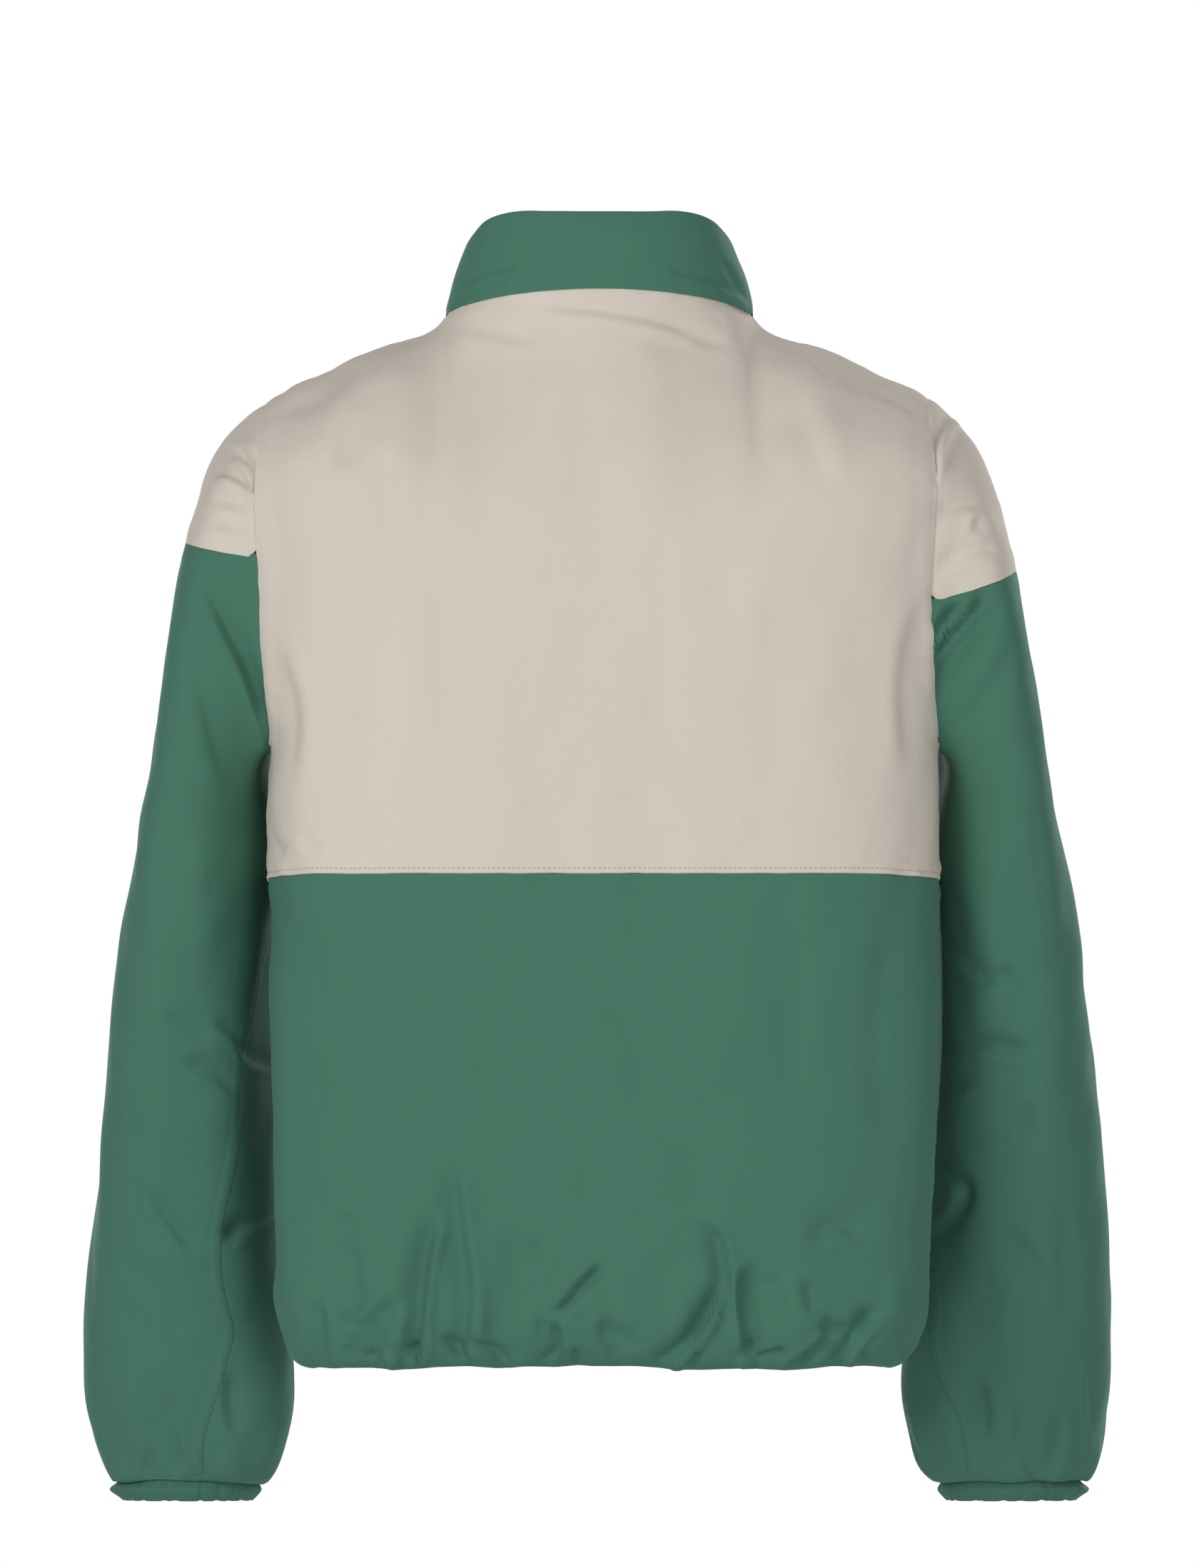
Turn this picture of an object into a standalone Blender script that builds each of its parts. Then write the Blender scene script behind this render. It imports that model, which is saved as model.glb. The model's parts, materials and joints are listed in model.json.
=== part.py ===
"""A lightly padded two-colour jacket, filled out as worn with no wearer in it.

Metres, +Z up. The jacket faces -Y, so its back faces +Y, and its left side is +X. The origin is the
middle of the neck at the height where the shoulder lines meet it.

The cloth is worked out as one skin of rows and rings. The skin is relaxed like stretched cloth, cut along
the seams into the pieces that are sewn together, and each piece becomes a wall with two faces and edges.
"""

import math
from typing import NamedTuple

import bmesh
import bpy
import numpy as np

# ---------------------------------------------------------------- driving dimensions
WALL = 0.003  # shell, wadding and lining together
COLLAR_WALL = 0.0040
SEAM_GAP = 0.0003
UNDERARM_Z = -0.245
SHOULDER_TIP_X = {"left": 0.190, "right": 0.185}
NECK_HALF_WIDTH = 0.088
NECK_BACK_Y = 0.078
NECK_FRONT_Y = -0.084
NECK_SEAM_Z = {"back": 0.0214, "side": 0.0055, "front": -0.030}
NECK_CURVE = {"back": 1.3, "front": 0.85}  # exponents of the neck seam's curve, 1 for an ellipse
NECK_RISE_X = 0.004  # how far from the neck the shoulder line has its short rise
FLARE_X = 0.055  # nearer the middle the neck flares, and as far again outwards the shoulder is a dome
BODY_MIDDLE_Y = 0.030  # the depth at which the body is widest, where the side seams run
SQUARENESS = {"back": 3.0, "front": 2.15}  # exponents of the rounded section, 2 for an ellipse
COLOUR_SEAM_Z = -0.3125
COLOUR_SEAM_DIP = 0.005  # how much lower it runs at the side seams
HEM_ROLL_Z = -0.573  # below this the hem turns under

ZIP_HALF_GAP = 0.0070  # from the centre front to a front's edge
ZIP_EASE_X = 0.012  # how far beside the zip the columns are eased over
ZIP_TAPE_THICKNESS = 0.0012
ZIP_TAPE_RECESS = 0.0010
SLIDER_Z = 0.004
SLIDER_SIZE = (0.0090, 0.0030, 0.0130)
PULL_AXIS_REACH = 0.0026  # from the slider's front to the bar that the pull tab hangs on
PULL_BAR_RADIUS = 0.0007
PULL_EYE_RADIUS = 0.0012
PULL_EYE_WIDTH = 0.0030
PULL_NECK = (0.0022, 0.0010, 0.0030)
PULL_TAB = (0.0060, 0.0012, 0.0180)
PULL_TAB_OVERLAP = 0.0008  # how far the tab runs into its neck
PULL_EYE_WALL = 0.0008
PULL_NECK_OVERLAP = 0.0003  # how far the neck starts below the eye's bore, inside the eye's wall
SLIDER_EAR = (0.0012, 0.0042, 0.0030)
SLIDER_EAR_ROOT = 0.0006  # how far the ears run into the slider
SLIDER_BEVEL = 0.0006
PULL_BEVEL = 0.0004
BAR_SIDES = 12
EYE_SIDES = 16

# ---------------------------------------------------------------- how finely the skin is divided
SHOULDER_COLUMNS = 9
NECK_COLUMNS = {"back": 8, "front": 7}  # on each half
LOWER_COLUMNS = {"back": 22, "front": 19}  # on each half, below the colour seam
ARMHOLE_ROWS = 12
CHEST_ROWS = 3
SKIRT_ROWS = 8
CAP_ROWS = 8
COLLAR_ROWS = 3
RELAX_ROUNDS = 12
RELAX_STEPS = (0.50, -0.52)  # towards the neighbours' middle, then back out
WELD_CELL = 4e-6
ARC_STEPS = 160
HIDDEN_HEM_ROWS = 2  # rows of the hem's turn that the zip's tapes still follow


class BodyLevel(NamedTuple):
    """The body's section at one height: its half widths, and the depths of its back and front."""

    z: float
    left: float
    right: float
    back: float
    front: float


BODY = (
    BodyLevel(-0.620, 0.1885, 0.1905, 0.106, -0.126),
    BodyLevel(-0.560, 0.1885, 0.1915, 0.108, -0.128),
    BodyLevel(-0.500, 0.1892, 0.1922, 0.110, -0.130),
    BodyLevel(-0.440, 0.1893, 0.1950, 0.111, -0.132),
    BodyLevel(-0.380, 0.1908, 0.1974, 0.112, -0.133),
    BodyLevel(-0.340, 0.1880, 0.1970, 0.113, -0.133),
    BodyLevel(-0.300, 0.1918, 0.1956, 0.114, -0.133),
    BodyLevel(-0.270, 0.1912, 0.1950, 0.115, -0.133),
    BodyLevel(UNDERARM_Z, 0.1890, 0.1936, 0.115, -0.132),
    BodyLevel(-0.190, 0.1930, 0.1903, 0.116, -0.130),
    BodyLevel(-0.130, 0.1955, 0.1905, 0.115, -0.126),
    BodyLevel(-0.090, 0.1980, 0.1935, 0.113, -0.121),
    BodyLevel(-0.050, 0.1915, 0.1875, 0.110, -0.116),
    BodyLevel(0.030, 0.1800, 0.1760, 0.104, -0.108),
)
ARMHOLE_MARGIN = 0.020  # how far the body's own section reaches past the armhole at the shoulder
ARMHOLE_MARGIN_FADE = 1.3  # exponent of how the margin falls to nothing at the underarm
ARMHOLE_TIP_FADE = 4  # exponent of how the armhole leaves the shoulder's tip
FRONT_ARMHOLE_INSET = 0.024
FRONT_ARMHOLE_CURVE = 0.8  # exponent of the front armhole's inward curve


class ShoulderPoint(NamedTuple):
    """The shoulder line from the neck outwards. The last row lies past its tip."""

    x: float
    z: float


SHOULDER = (
    ShoulderPoint(0.088, 0.0005),
    ShoulderPoint(0.098, -0.0025),
    ShoulderPoint(0.119, -0.0095),
    ShoulderPoint(0.158, -0.0260),
    ShoulderPoint(0.187, -0.0425),
    ShoulderPoint(0.208, -0.0590),
)


class Rounding(NamedTuple):
    """How far below the top edge the back and front have reached their full depth."""

    x: float
    back: float
    front: float


ROUNDING = (
    Rounding(0.000, 0.135, 0.150),
    Rounding(0.060, 0.125, 0.135),
    Rounding(0.120, 0.095, 0.105),
    Rounding(0.200, 0.062, 0.066),
)


class HemTurn(NamedTuple):
    """The hem's turn: how far it has come in from the body, and its height."""

    inset: float
    z: float


HEM_TURN = (
    HemTurn(0.0030, -0.5820),
    HemTurn(0.0080, -0.5908),
    HemTurn(0.0155, -0.5974),
    HemTurn(0.0240, -0.5984),
    HemTurn(0.0290, -0.5915),
)


class HemGather(NamedTuple):
    """A soft trough that runs up from the hem: its place from the centre (-1 to 1, + is left) and size."""

    share: float
    top_z: float
    width: float
    depth: float


HEM_HALF_BACK = 0.25  # the hem from the centre to a side seam
HEM_GATHERS = {
    "back": (
        HemGather(0.86, -0.545, 0.011, 0.0049),
        HemGather(0.69, -0.555, 0.010, 0.0042),
        HemGather(0.55, -0.540, 0.012, 0.0056),
        HemGather(0.42, -0.500, 0.014, 0.0077),
        HemGather(0.31, -0.465, 0.014, 0.0070),
        HemGather(0.21, -0.515, 0.012, 0.0056),
        HemGather(0.10, -0.530, 0.012, 0.0056),
        HemGather(-0.05, -0.560, 0.010, 0.0042),
        HemGather(-0.18, -0.540, 0.014, 0.0077),
        HemGather(-0.32, -0.515, 0.015, 0.0070),
        HemGather(-0.47, -0.540, 0.011, 0.0049),
        HemGather(-0.58, -0.550, 0.012, 0.0063),
        HemGather(-0.74, -0.560, 0.011, 0.0049),
    ),
    "front": (
        HemGather(0.84, -0.540, 0.011, 0.0049),
        HemGather(0.64, -0.530, 0.012, 0.0049),
        HemGather(0.51, -0.505, 0.014, 0.0070),
        HemGather(0.41, -0.540, 0.011, 0.0049),
        HemGather(0.30, -0.495, 0.014, 0.0070),
        HemGather(0.16, -0.530, 0.012, 0.0056),
        HemGather(-0.08, -0.560, 0.010, 0.0042),
        HemGather(-0.16, -0.515, 0.013, 0.0056),
        HemGather(-0.26, -0.550, 0.011, 0.0049),
        HemGather(-0.35, -0.495, 0.014, 0.0070),
        HemGather(-0.45, -0.540, 0.011, 0.0049),
        HemGather(-0.55, -0.515, 0.013, 0.0063),
        HemGather(-0.67, -0.550, 0.011, 0.0042),
    ),
}


class SleeveLevel(NamedTuple):
    """The sleeve's section at one height, as half sizes before it is turned by yaw degrees."""

    z: float
    x: float
    y: float
    half_x: float
    half_y: float
    yaw: float


SLEEVE = (
    SleeveLevel(-0.300, 0.2260, -0.026, 0.0367, 0.0790, 16.0),
    SleeveLevel(-0.345, 0.2298, -0.037, 0.0412, 0.0790, 16.0),
    SleeveLevel(-0.390, 0.2328, -0.049, 0.0448, 0.0780, 15.0),
    SleeveLevel(-0.430, 0.2350, -0.059, 0.0482, 0.0760, 13.0),
    SleeveLevel(-0.470, 0.2367, -0.069, 0.0514, 0.0740, 11.0),
    SleeveLevel(-0.510, 0.2376, -0.079, 0.0549, 0.0715, 9.0),
    SleeveLevel(-0.550, 0.2379, -0.089, 0.0577, 0.0695, 7.0),
    SleeveLevel(-0.585, 0.2372, -0.098, 0.0612, 0.0680, 5.0),
    SleeveLevel(-0.610, 0.2365, -0.104, 0.0616, 0.0655, 3.0),
    SleeveLevel(-0.633, 0.2358, -0.109, 0.0586, 0.0610, 0.0),
    SleeveLevel(-0.650, 0.2362, -0.112, 0.0544, 0.0560, 0.0),
    SleeveLevel(-0.662, 0.2376, -0.114, 0.0480, 0.0500, 0.0),
    SleeveLevel(-0.6685, 0.2382, -0.115, 0.0455, 0.0465, 0.0),
    SleeveLevel(-0.6665, 0.2378, -0.115, 0.0400, 0.0420, 0.0),
)
CUFF = (
    SleeveLevel(-0.6665, 0.2378, -0.1150, 0.0400, 0.0420, 0.0),
    SleeveLevel(-0.6715, 0.2392, -0.1155, 0.0436, 0.0445, 0.0),
    SleeveLevel(-0.6750, 0.2382, -0.1158, 0.0400, 0.0425, 0.0),
    SleeveLevel(-0.6780, 0.2378, -0.1160, 0.0365, 0.0400, 0.0),
)
CUFF_GATHERS = 9
CUFF_GATHER_DEPTH = 0.0010


class ArmholeHandle(NamedTuple):
    """How the sleeve leaves the armhole, by the share of the way round it from the shoulder over the back.

    out, back and drop are the first step away from the armhole. lower is how far above its first level the
    sleeve already runs straight.
    """

    share: float
    out: float
    back: float
    drop: float
    lower: float


ARMHOLE_HANDLES = (
    ArmholeHandle(0.00, 0.0530, -0.0030, 0.0230, 0.130),
    ArmholeHandle(0.12, 0.0450, 0.0020, 0.0240, 0.110),
    ArmholeHandle(0.25, 0.0260, 0.0030, 0.0240, 0.075),
    ArmholeHandle(0.38, 0.0190, -0.0020, 0.0160, 0.042),
    ArmholeHandle(0.50, 0.0150, -0.0060, 0.0040, 0.025),
    ArmholeHandle(0.62, 0.0220, -0.0060, 0.0150, 0.042),
    ArmholeHandle(0.75, 0.0360, -0.0080, 0.0240, 0.075),
    ArmholeHandle(0.88, 0.0490, -0.0060, 0.0240, 0.110),
    ArmholeHandle(1.00, 0.0530, -0.0030, 0.0230, 0.130),
)


class CapFullness(NamedTuple):
    """How much further out the cap starts and goes on at the outer arm."""

    start: float
    further: float


CAP_FULLNESS = {"left": CapFullness(0.0068, -0.0093), "right": CapFullness(0.0128, -0.0093)}


class SleeveFold(NamedTuple):
    """A soft trough across a sleeve, from one turn round the arm (degrees from outside) to another."""

    from_turn: float
    from_z: float
    to_turn: float
    to_z: float
    width: float
    depth: float


FOLD_ARM_RADIUS = 0.062  # turns a fold's degrees into a distance round the arm
UNFOLDED_RINGS = (2, 4)  # at the armhole and at the cuff
SLEEVE_FOLDS = {
    "left": (
        SleeveFold(95, -0.150, 150, -0.235, 0.016, 0.0050),
        SleeveFold(110, -0.425, 175, -0.395, 0.016, 0.0045),
        SleeveFold(120, -0.515, 185, -0.535, 0.015, 0.0050),
        SleeveFold(250, -0.380, 190, -0.410, 0.018, 0.0050),
    ),
    "right": (
        SleeveFold(75, -0.165, 130, -0.205, 0.016, 0.0050),
        SleeveFold(100, -0.417, 175, -0.385, 0.017, 0.0050),
        SleeveFold(115, -0.500, 185, -0.525, 0.015, 0.0060),
        SleeveFold(255, -0.395, 190, -0.430, 0.018, 0.0050),
    ),
}


class CapSeam(NamedTuple):
    """The plane of the seam between a cap and its sleeve: its height at the outer arm, and its slopes."""

    z: float
    x: float
    rise_x: float
    rise_y: float


CUT_SNAP = 0.0045  # points this near the seam's plane are moved onto it
ON_SEAM = 1e-7
CAP_SEAM = {
    "left": CapSeam(-0.1227, 0.2355, 0.165, -0.060),
    "right": CapSeam(-0.1390, 0.2390, 0.339, -0.060),
}


class CollarPoint(NamedTuple):
    """The collar's top edge by the turn round the neck, in degrees from the centre back."""

    turn: float
    x: float
    y: float
    z: float


COLLAR_TOP = (
    CollarPoint(0, 0.0000, 0.0700, 0.0660),
    CollarPoint(20, 0.0275, 0.0665, 0.0660),
    CollarPoint(38, 0.0490, 0.0560, 0.0659),
    CollarPoint(55, 0.0645, 0.0410, 0.0614),
    CollarPoint(72, 0.0744, 0.0205, 0.0516),
    CollarPoint(90, 0.0776, -0.0020, 0.0418),
    CollarPoint(115, 0.0700, -0.0330, 0.0320),
    CollarPoint(145, 0.0430, -0.0640, 0.0235),
    CollarPoint(180, 0.0000, -0.0790, 0.0200),
)
COLLAR_BULGE = 0.0022
CREAM = (0.62, 0.55, 0.49)
GREEN = (0.066, 0.180, 0.122)
METAL = (0.55, 0.55, 0.56)


# ---------------------------------------------------------------- curves through the tables
def through(rows, key, column, at):
    """The column's value where the key column is `at`, on a smooth curve through the table's rows."""
    xs = np.array([getattr(row, key) for row in rows], float)
    ys = np.array([getattr(row, column) for row in rows], float)
    if xs[0] > xs[-1]:
        xs, ys = xs[::-1], ys[::-1]
    slopes = np.gradient(ys, xs)
    at = np.clip(np.asarray(at, float), xs[0], xs[-1])
    i = np.clip(np.searchsorted(xs, at, side="right") - 1, 0, len(xs) - 2)
    step = xs[i + 1] - xs[i]
    t = (at - xs[i]) / step
    return (
        (1 + 2 * t) * (1 - t) ** 2 * ys[i]
        + t * (1 - t) ** 2 * step * slopes[i]
        + t * t * (3 - 2 * t) * ys[i + 1]
        + t * t * (t - 1) * step * slopes[i + 1]
    )


def ease(t):
    """A smooth step from 0 to 1."""
    t = np.clip(t, 0.0, 1.0)
    return t * t * (3 - 2 * t)


def sign_of(side):
    """+1 on the left, which is +X."""
    return 1.0 if side == "left" else -1.0


def mirrored(points, side):
    """Points worked out for the left side, taken to the given side."""
    return points * np.array([sign_of(side), 1.0, 1.0])


# ---------------------------------------------------------------- the body's surface
def shoulder_z(x):
    """The shoulder line's height, with its short rise at the neck."""
    neck_rise = NECK_SEAM_Z["side"] * np.exp(-(x - NECK_HALF_WIDTH) / NECK_RISE_X)
    return through(SHOULDER, "x", "z", x) + np.where(x >= NECK_HALF_WIDTH, neck_rise, 0.0)


def tip_z(side):
    """The height of the shoulder's tip."""
    return float(shoulder_z(SHOULDER_TIP_X[side]))


def armhole_share(side, z):
    """0 at the shoulder's tip, 1 at the underarm."""
    tip = tip_z(side)
    return np.clip((tip - z) / (tip - UNDERARM_Z), 0.0, 1.0)


def armhole_x(side, face, z):
    """The armhole's distance from the middle at a height."""
    share = armhole_share(side, z)
    to_tip = SHOULDER_TIP_X[side] - float(through(BODY, "z", side, tip_z(side)))
    curve = np.sin(math.pi * share) ** FRONT_ARMHOLE_CURVE
    inset = FRONT_ARMHOLE_INSET * curve if face == "front" else 0.0
    return through(BODY, "z", side, z) + to_tip * (1 - share) ** ARMHOLE_TIP_FADE - inset


def half_width(side, z):
    """The half width of the body's own section. Above the underarm the armhole cuts part of it away."""
    z = np.asarray(z, float)
    margin = ARMHOLE_MARGIN * (1 - armhole_share(side, z)) ** ARMHOLE_MARGIN_FADE
    above = armhole_x(side, "back", z) + margin
    return np.where(z < UNDERARM_Z, through(BODY, "z", side, z), above)


def neck_turn(x):
    """1 at the middle of the neck, 0 at its sides."""
    return np.sqrt(np.clip(1 - (x / NECK_HALF_WIDTH) ** 2, 0.0, 1.0))


def neck_height(face, x):
    """The neck seam's height by the distance from the middle."""
    rise = NECK_SEAM_Z[face] - NECK_SEAM_Z["side"]
    return NECK_SEAM_Z["side"] + rise * neck_turn(x) ** NECK_CURVE[face]


def neck_depth(face, x):
    """The neck seam's depth by the distance from the middle."""
    return (NECK_BACK_Y if face == "back" else NECK_FRONT_Y) * neck_turn(x)


def top_height(face, x):
    """The height of the neck seam or the shoulder line."""
    return np.where(x < NECK_HALF_WIDTH, neck_height(face, x), shoulder_z(x))


def reach_from_middle(face, z):
    """How far the back or front lies from the depth of the side seams."""
    return through(BODY, "z", face, z) - BODY_MIDDLE_Y


def open_depth(side, face, x, z):
    """The body's depth before the shoulders round it off."""
    share = np.clip(x / half_width(side, z), 0.0, 1.0)
    square = SQUARENESS[face]
    return BODY_MIDDLE_Y + reach_from_middle(face, z) * (1 - share**square) ** (1 / square)


def depth(side, face, x, z):
    """The depth of the back's or the front's surface at a distance from the middle and a height."""
    x, z = np.asarray(x, float), np.asarray(z, float)
    t = np.clip((top_height(face, x) - z) / through(ROUNDING, "x", face, x), 0.0, 1.0)
    flared = ease(t)
    domed = np.sqrt(1 - (1 - t) ** 2)
    over = ease((x - FLARE_X) / FLARE_X)
    rounding = flared + (domed - flared) * over
    top_y = neck_depth(face, x)
    return top_y + (open_depth(side, face, x, z) - top_y) * rounding


def arc_x(side, face, share, z):
    """The distance from the middle at an even share of the way round, to the armhole or side seam."""
    width = float(half_width(side, z))
    edge = width if z < UNDERARM_Z else float(armhole_x(side, face, z))
    square = SQUARENESS[face]
    end = math.asin(min(edge / width, 1.0) ** (square / 2))
    turn = np.linspace(0.0, 1.0, ARC_STEPS) * end
    xs = width * np.sin(turn) ** (2 / square)
    ys = abs(float(reach_from_middle(face, z))) * np.cos(turn) ** (2 / square)
    along = np.concatenate(([0.0], np.cumsum(np.hypot(np.diff(xs), np.diff(ys)))))
    return float(np.interp(share * along[-1], along, xs))


def top_x(side, share, neck_share):
    """The top edge's distance from the middle: round the neck first, then along the shoulder."""
    if share <= neck_share:
        return NECK_HALF_WIDTH * math.sin(math.pi / 2 * share / neck_share)
    along = (share - neck_share) / (1 - neck_share)
    return NECK_HALF_WIDTH + (SHOULDER_TIP_X[side] - NECK_HALF_WIDTH) * along


def armhole_levels():
    """Shares of the armhole's height, closer together at the shoulder and the underarm."""
    return (1 - np.cos(np.linspace(0.0, math.pi, ARMHOLE_ROWS + 1))) / 2


def colour_seam_z(share):
    """The colour seam's height by the share of the way from the middle to the side seam."""
    return COLOUR_SEAM_Z - COLOUR_SEAM_DIP * share**6


def upper_rows(side, face):
    """Rows of points (distance from the middle, depth, height) from the top edge to the colour seam."""
    columns = NECK_COLUMNS[face] + SHOULDER_COLUMNS
    neck_share = NECK_COLUMNS[face] / columns
    shares = np.linspace(0.0, 1.0, columns + 1)
    tops = np.array([top_x(side, share, neck_share) for share in shares])
    top_zs = top_height(face, tops)
    rows = []
    for level in armhole_levels():
        row = []
        for share, start_x, start_z in zip(shares, tops, top_zs):
            z = float(start_z + (UNDERARM_Z - start_z) * level)
            drift = (start_x - arc_x(side, face, share, float(start_z))) * (1 - ease(level))
            x = arc_x(side, face, share, z) + drift
            row.append((x, float(depth(side, face, x, z)), z))
        rows.append(row)
    for step in range(1, CHEST_ROWS + 1):
        rows.append(level_row(side, face, shares, UNDERARM_Z, step / CHEST_ROWS))
    return with_zip_edge(np.array(rows), face)


def level_row(side, face, shares, start_z, level):
    """One row between a starting height and the colour seam."""
    row = []
    for share in shares:
        z = start_z + (colour_seam_z(share) - start_z) * level
        x = arc_x(side, face, share, z)
        row.append((x, float(depth(side, face, x, z)), z))
    return row


def gather_depth(side, face, share, z):
    """How far the hem's gathers draw the cloth in at one place."""
    place = sign_of(side) * share
    total = 0.0
    for gather in HEM_GATHERS[face]:
        away = (place - gather.share) * HEM_HALF_BACK / gather.width
        risen = ease((gather.top_z - z) / (gather.top_z - HEM_ROLL_Z))
        total += gather.depth * math.exp(-(away**2)) * float(risen)
    return total


def drawn_in(side, face, share, point, inset):
    """A point of the body's section moved towards the section's middle by an inset."""
    width = float(half_width(side, HEM_ROLL_Z))
    reach = abs(float(reach_from_middle(face, HEM_ROLL_Z)))
    x, y, z = point
    return (x * (1 - inset / width), BODY_MIDDLE_Y + (y - BODY_MIDDLE_Y) * (1 - inset / reach), z)


def lower_rows(side, face):
    """Rows of points from the colour seam to the end of the hem's turn."""
    shares = np.linspace(0.0, 1.0, LOWER_COLUMNS[face] + 1)
    rows = []
    for step in range(SKIRT_ROWS + 1):
        row = []
        for share in shares:
            seam_z = colour_seam_z(share)
            z = seam_z + (HEM_ROLL_Z - seam_z) * step / SKIRT_ROWS
            x = arc_x(side, face, share, z)
            point = (x, float(depth(side, face, x, z)), z)
            row.append(drawn_in(side, face, share, point, gather_depth(side, face, share, z)))
        rows.append(row)
    for turn in HEM_TURN:
        row = []
        for share, (x, y, _) in zip(shares, rows[SKIRT_ROWS]):
            row.append(drawn_in(side, face, share, (x, y, turn.z), turn.inset))
        rows.append(row)
    return with_zip_edge(np.array(rows), face)


def with_zip_edge(rows, face):
    """A front's rows with their first column at the zip's edge, and the next columns eased over."""
    if face == "front":
        rows[:, :, 0] += ZIP_HALF_GAP * np.exp(-rows[:, :, 0] / ZIP_EASE_X)
    return rows


# ---------------------------------------------------------------- the sleeves' surface
def level_ring(level, turns):
    """One level's ring of points, by the turn from the outer arm over the back."""
    yaw = math.radians(level.yaw)
    across = level.half_x * np.cos(turns)
    along = level.half_y * np.sin(turns)
    x = level.x + across * math.cos(yaw) + along * math.sin(yaw)
    y = level.y - across * math.sin(yaw) + along * math.cos(yaw)
    return np.stack([x, y, np.full_like(x, level.z)], axis=1)


def fold_depth(side, turns, z):
    """How far a sleeve's folds draw its ring in, at each turn."""
    total = np.zeros_like(turns)
    here = np.stack([turns * FOLD_ARM_RADIUS, z], axis=1)
    for fold in SLEEVE_FOLDS[side]:
        start = np.array([math.radians(fold.from_turn) * FOLD_ARM_RADIUS, fold.from_z])
        end = np.array([math.radians(fold.to_turn) * FOLD_ARM_RADIUS, fold.to_z])
        along = end - start
        share = np.clip((here - start) @ along / (along @ along), 0.0, 1.0)
        away = np.linalg.norm(here - start - share[:, None] * along, axis=1)
        total += fold.depth * np.exp(-((away / fold.width) ** 2))
    return total


def sleeve_rings(side, armhole):
    """Rings from the armhole's loop to the sleeve's end, worked out for the left side."""
    shares = np.arange(len(armhole)) / len(armhole)
    turns = 2 * math.pi * shares
    first = level_ring(SLEEVE[0], turns)
    straight = level_ring(SLEEVE[1], turns) - first
    straight /= np.linalg.norm(straight, axis=1)[:, None]
    handle = {name: through(ARMHOLE_HANDLES, "share", name, shares) for name in ArmholeHandle._fields}
    outer = np.maximum(np.cos(turns), 0.0)
    out = handle["out"] + CAP_FULLNESS[side].start * outer
    near = armhole + np.stack([out, handle["back"], -handle["drop"]], axis=1)
    far = first - straight * handle["lower"][:, None]
    far[:, 0] += CAP_FULLNESS[side].further * outer
    rings = []
    for step in range(CAP_ROWS):
        t = step / CAP_ROWS
        rings.append(
            (1 - t) ** 3 * armhole
            + 3 * (1 - t) ** 2 * t * near
            + 3 * (1 - t) * t * t * far
            + t**3 * first
        )
    rings += [level_ring(level, turns) for level in SLEEVE]
    rings = np.array(rings)
    centres = rings.mean(axis=1, keepdims=True)
    outward = rings - centres
    outward[:, :, 2] = 0.0
    outward /= np.linalg.norm(outward, axis=2)[:, :, None]
    for row in range(UNFOLDED_RINGS[0], len(rings) - UNFOLDED_RINGS[1]):
        rings[row] -= outward[row] * fold_depth(side, turns, rings[row][:, 2])[:, None]
    return rings


def cuff_rings(sleeve_end):
    """The cuff's rings below the sleeve's end, gathered by its elastic."""
    turns = 2 * math.pi * np.arange(len(sleeve_end)) / len(sleeve_end)
    rings = [sleeve_end]
    for level in CUFF[1:]:
        ring = level_ring(level, turns)
        inward = np.array([level.x, level.y, level.z]) - ring
        inward /= np.linalg.norm(inward, axis=1)[:, None]
        wave = (1 + np.cos(CUFF_GATHERS * turns)) / 2
        rings.append(ring + inward * (CUFF_GATHER_DEPTH * wave)[:, None])
    return np.array(rings)


# ---------------------------------------------------------------- the collar's surface
def collar_rows(side, face, neck):
    """Rows from the neck seam to the collar's top edge, for one half of the back or front."""
    turns = np.degrees(np.arcsin(np.clip(neck[:, 0] / NECK_HALF_WIDTH, 0.0, 1.0)))
    if face == "front":
        turns = 180.0 - np.linspace(0.0, 90.0, len(neck))
    top = np.stack([through(COLLAR_TOP, "turn", name, turns) for name in ("x", "y", "z")], axis=1)
    if face == "front":
        top[:, 0] += ZIP_HALF_GAP * np.exp(-top[:, 0] / ZIP_EASE_X)
    outward = top * np.array([1.0, 1.0, 0.0])
    outward /= np.linalg.norm(outward, axis=1)[:, None]
    rows = []
    for step in range(COLLAR_ROWS, -1, -1):
        t = step / COLLAR_ROWS
        bulge = COLLAR_BULGE * math.sin(math.pi * t)
        rows.append(neck + (top - neck) * t + outward * bulge)
    rows = np.array(rows)
    if face == "front":
        rows[:, 0, 0] = ZIP_HALF_GAP
    return rows


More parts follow.
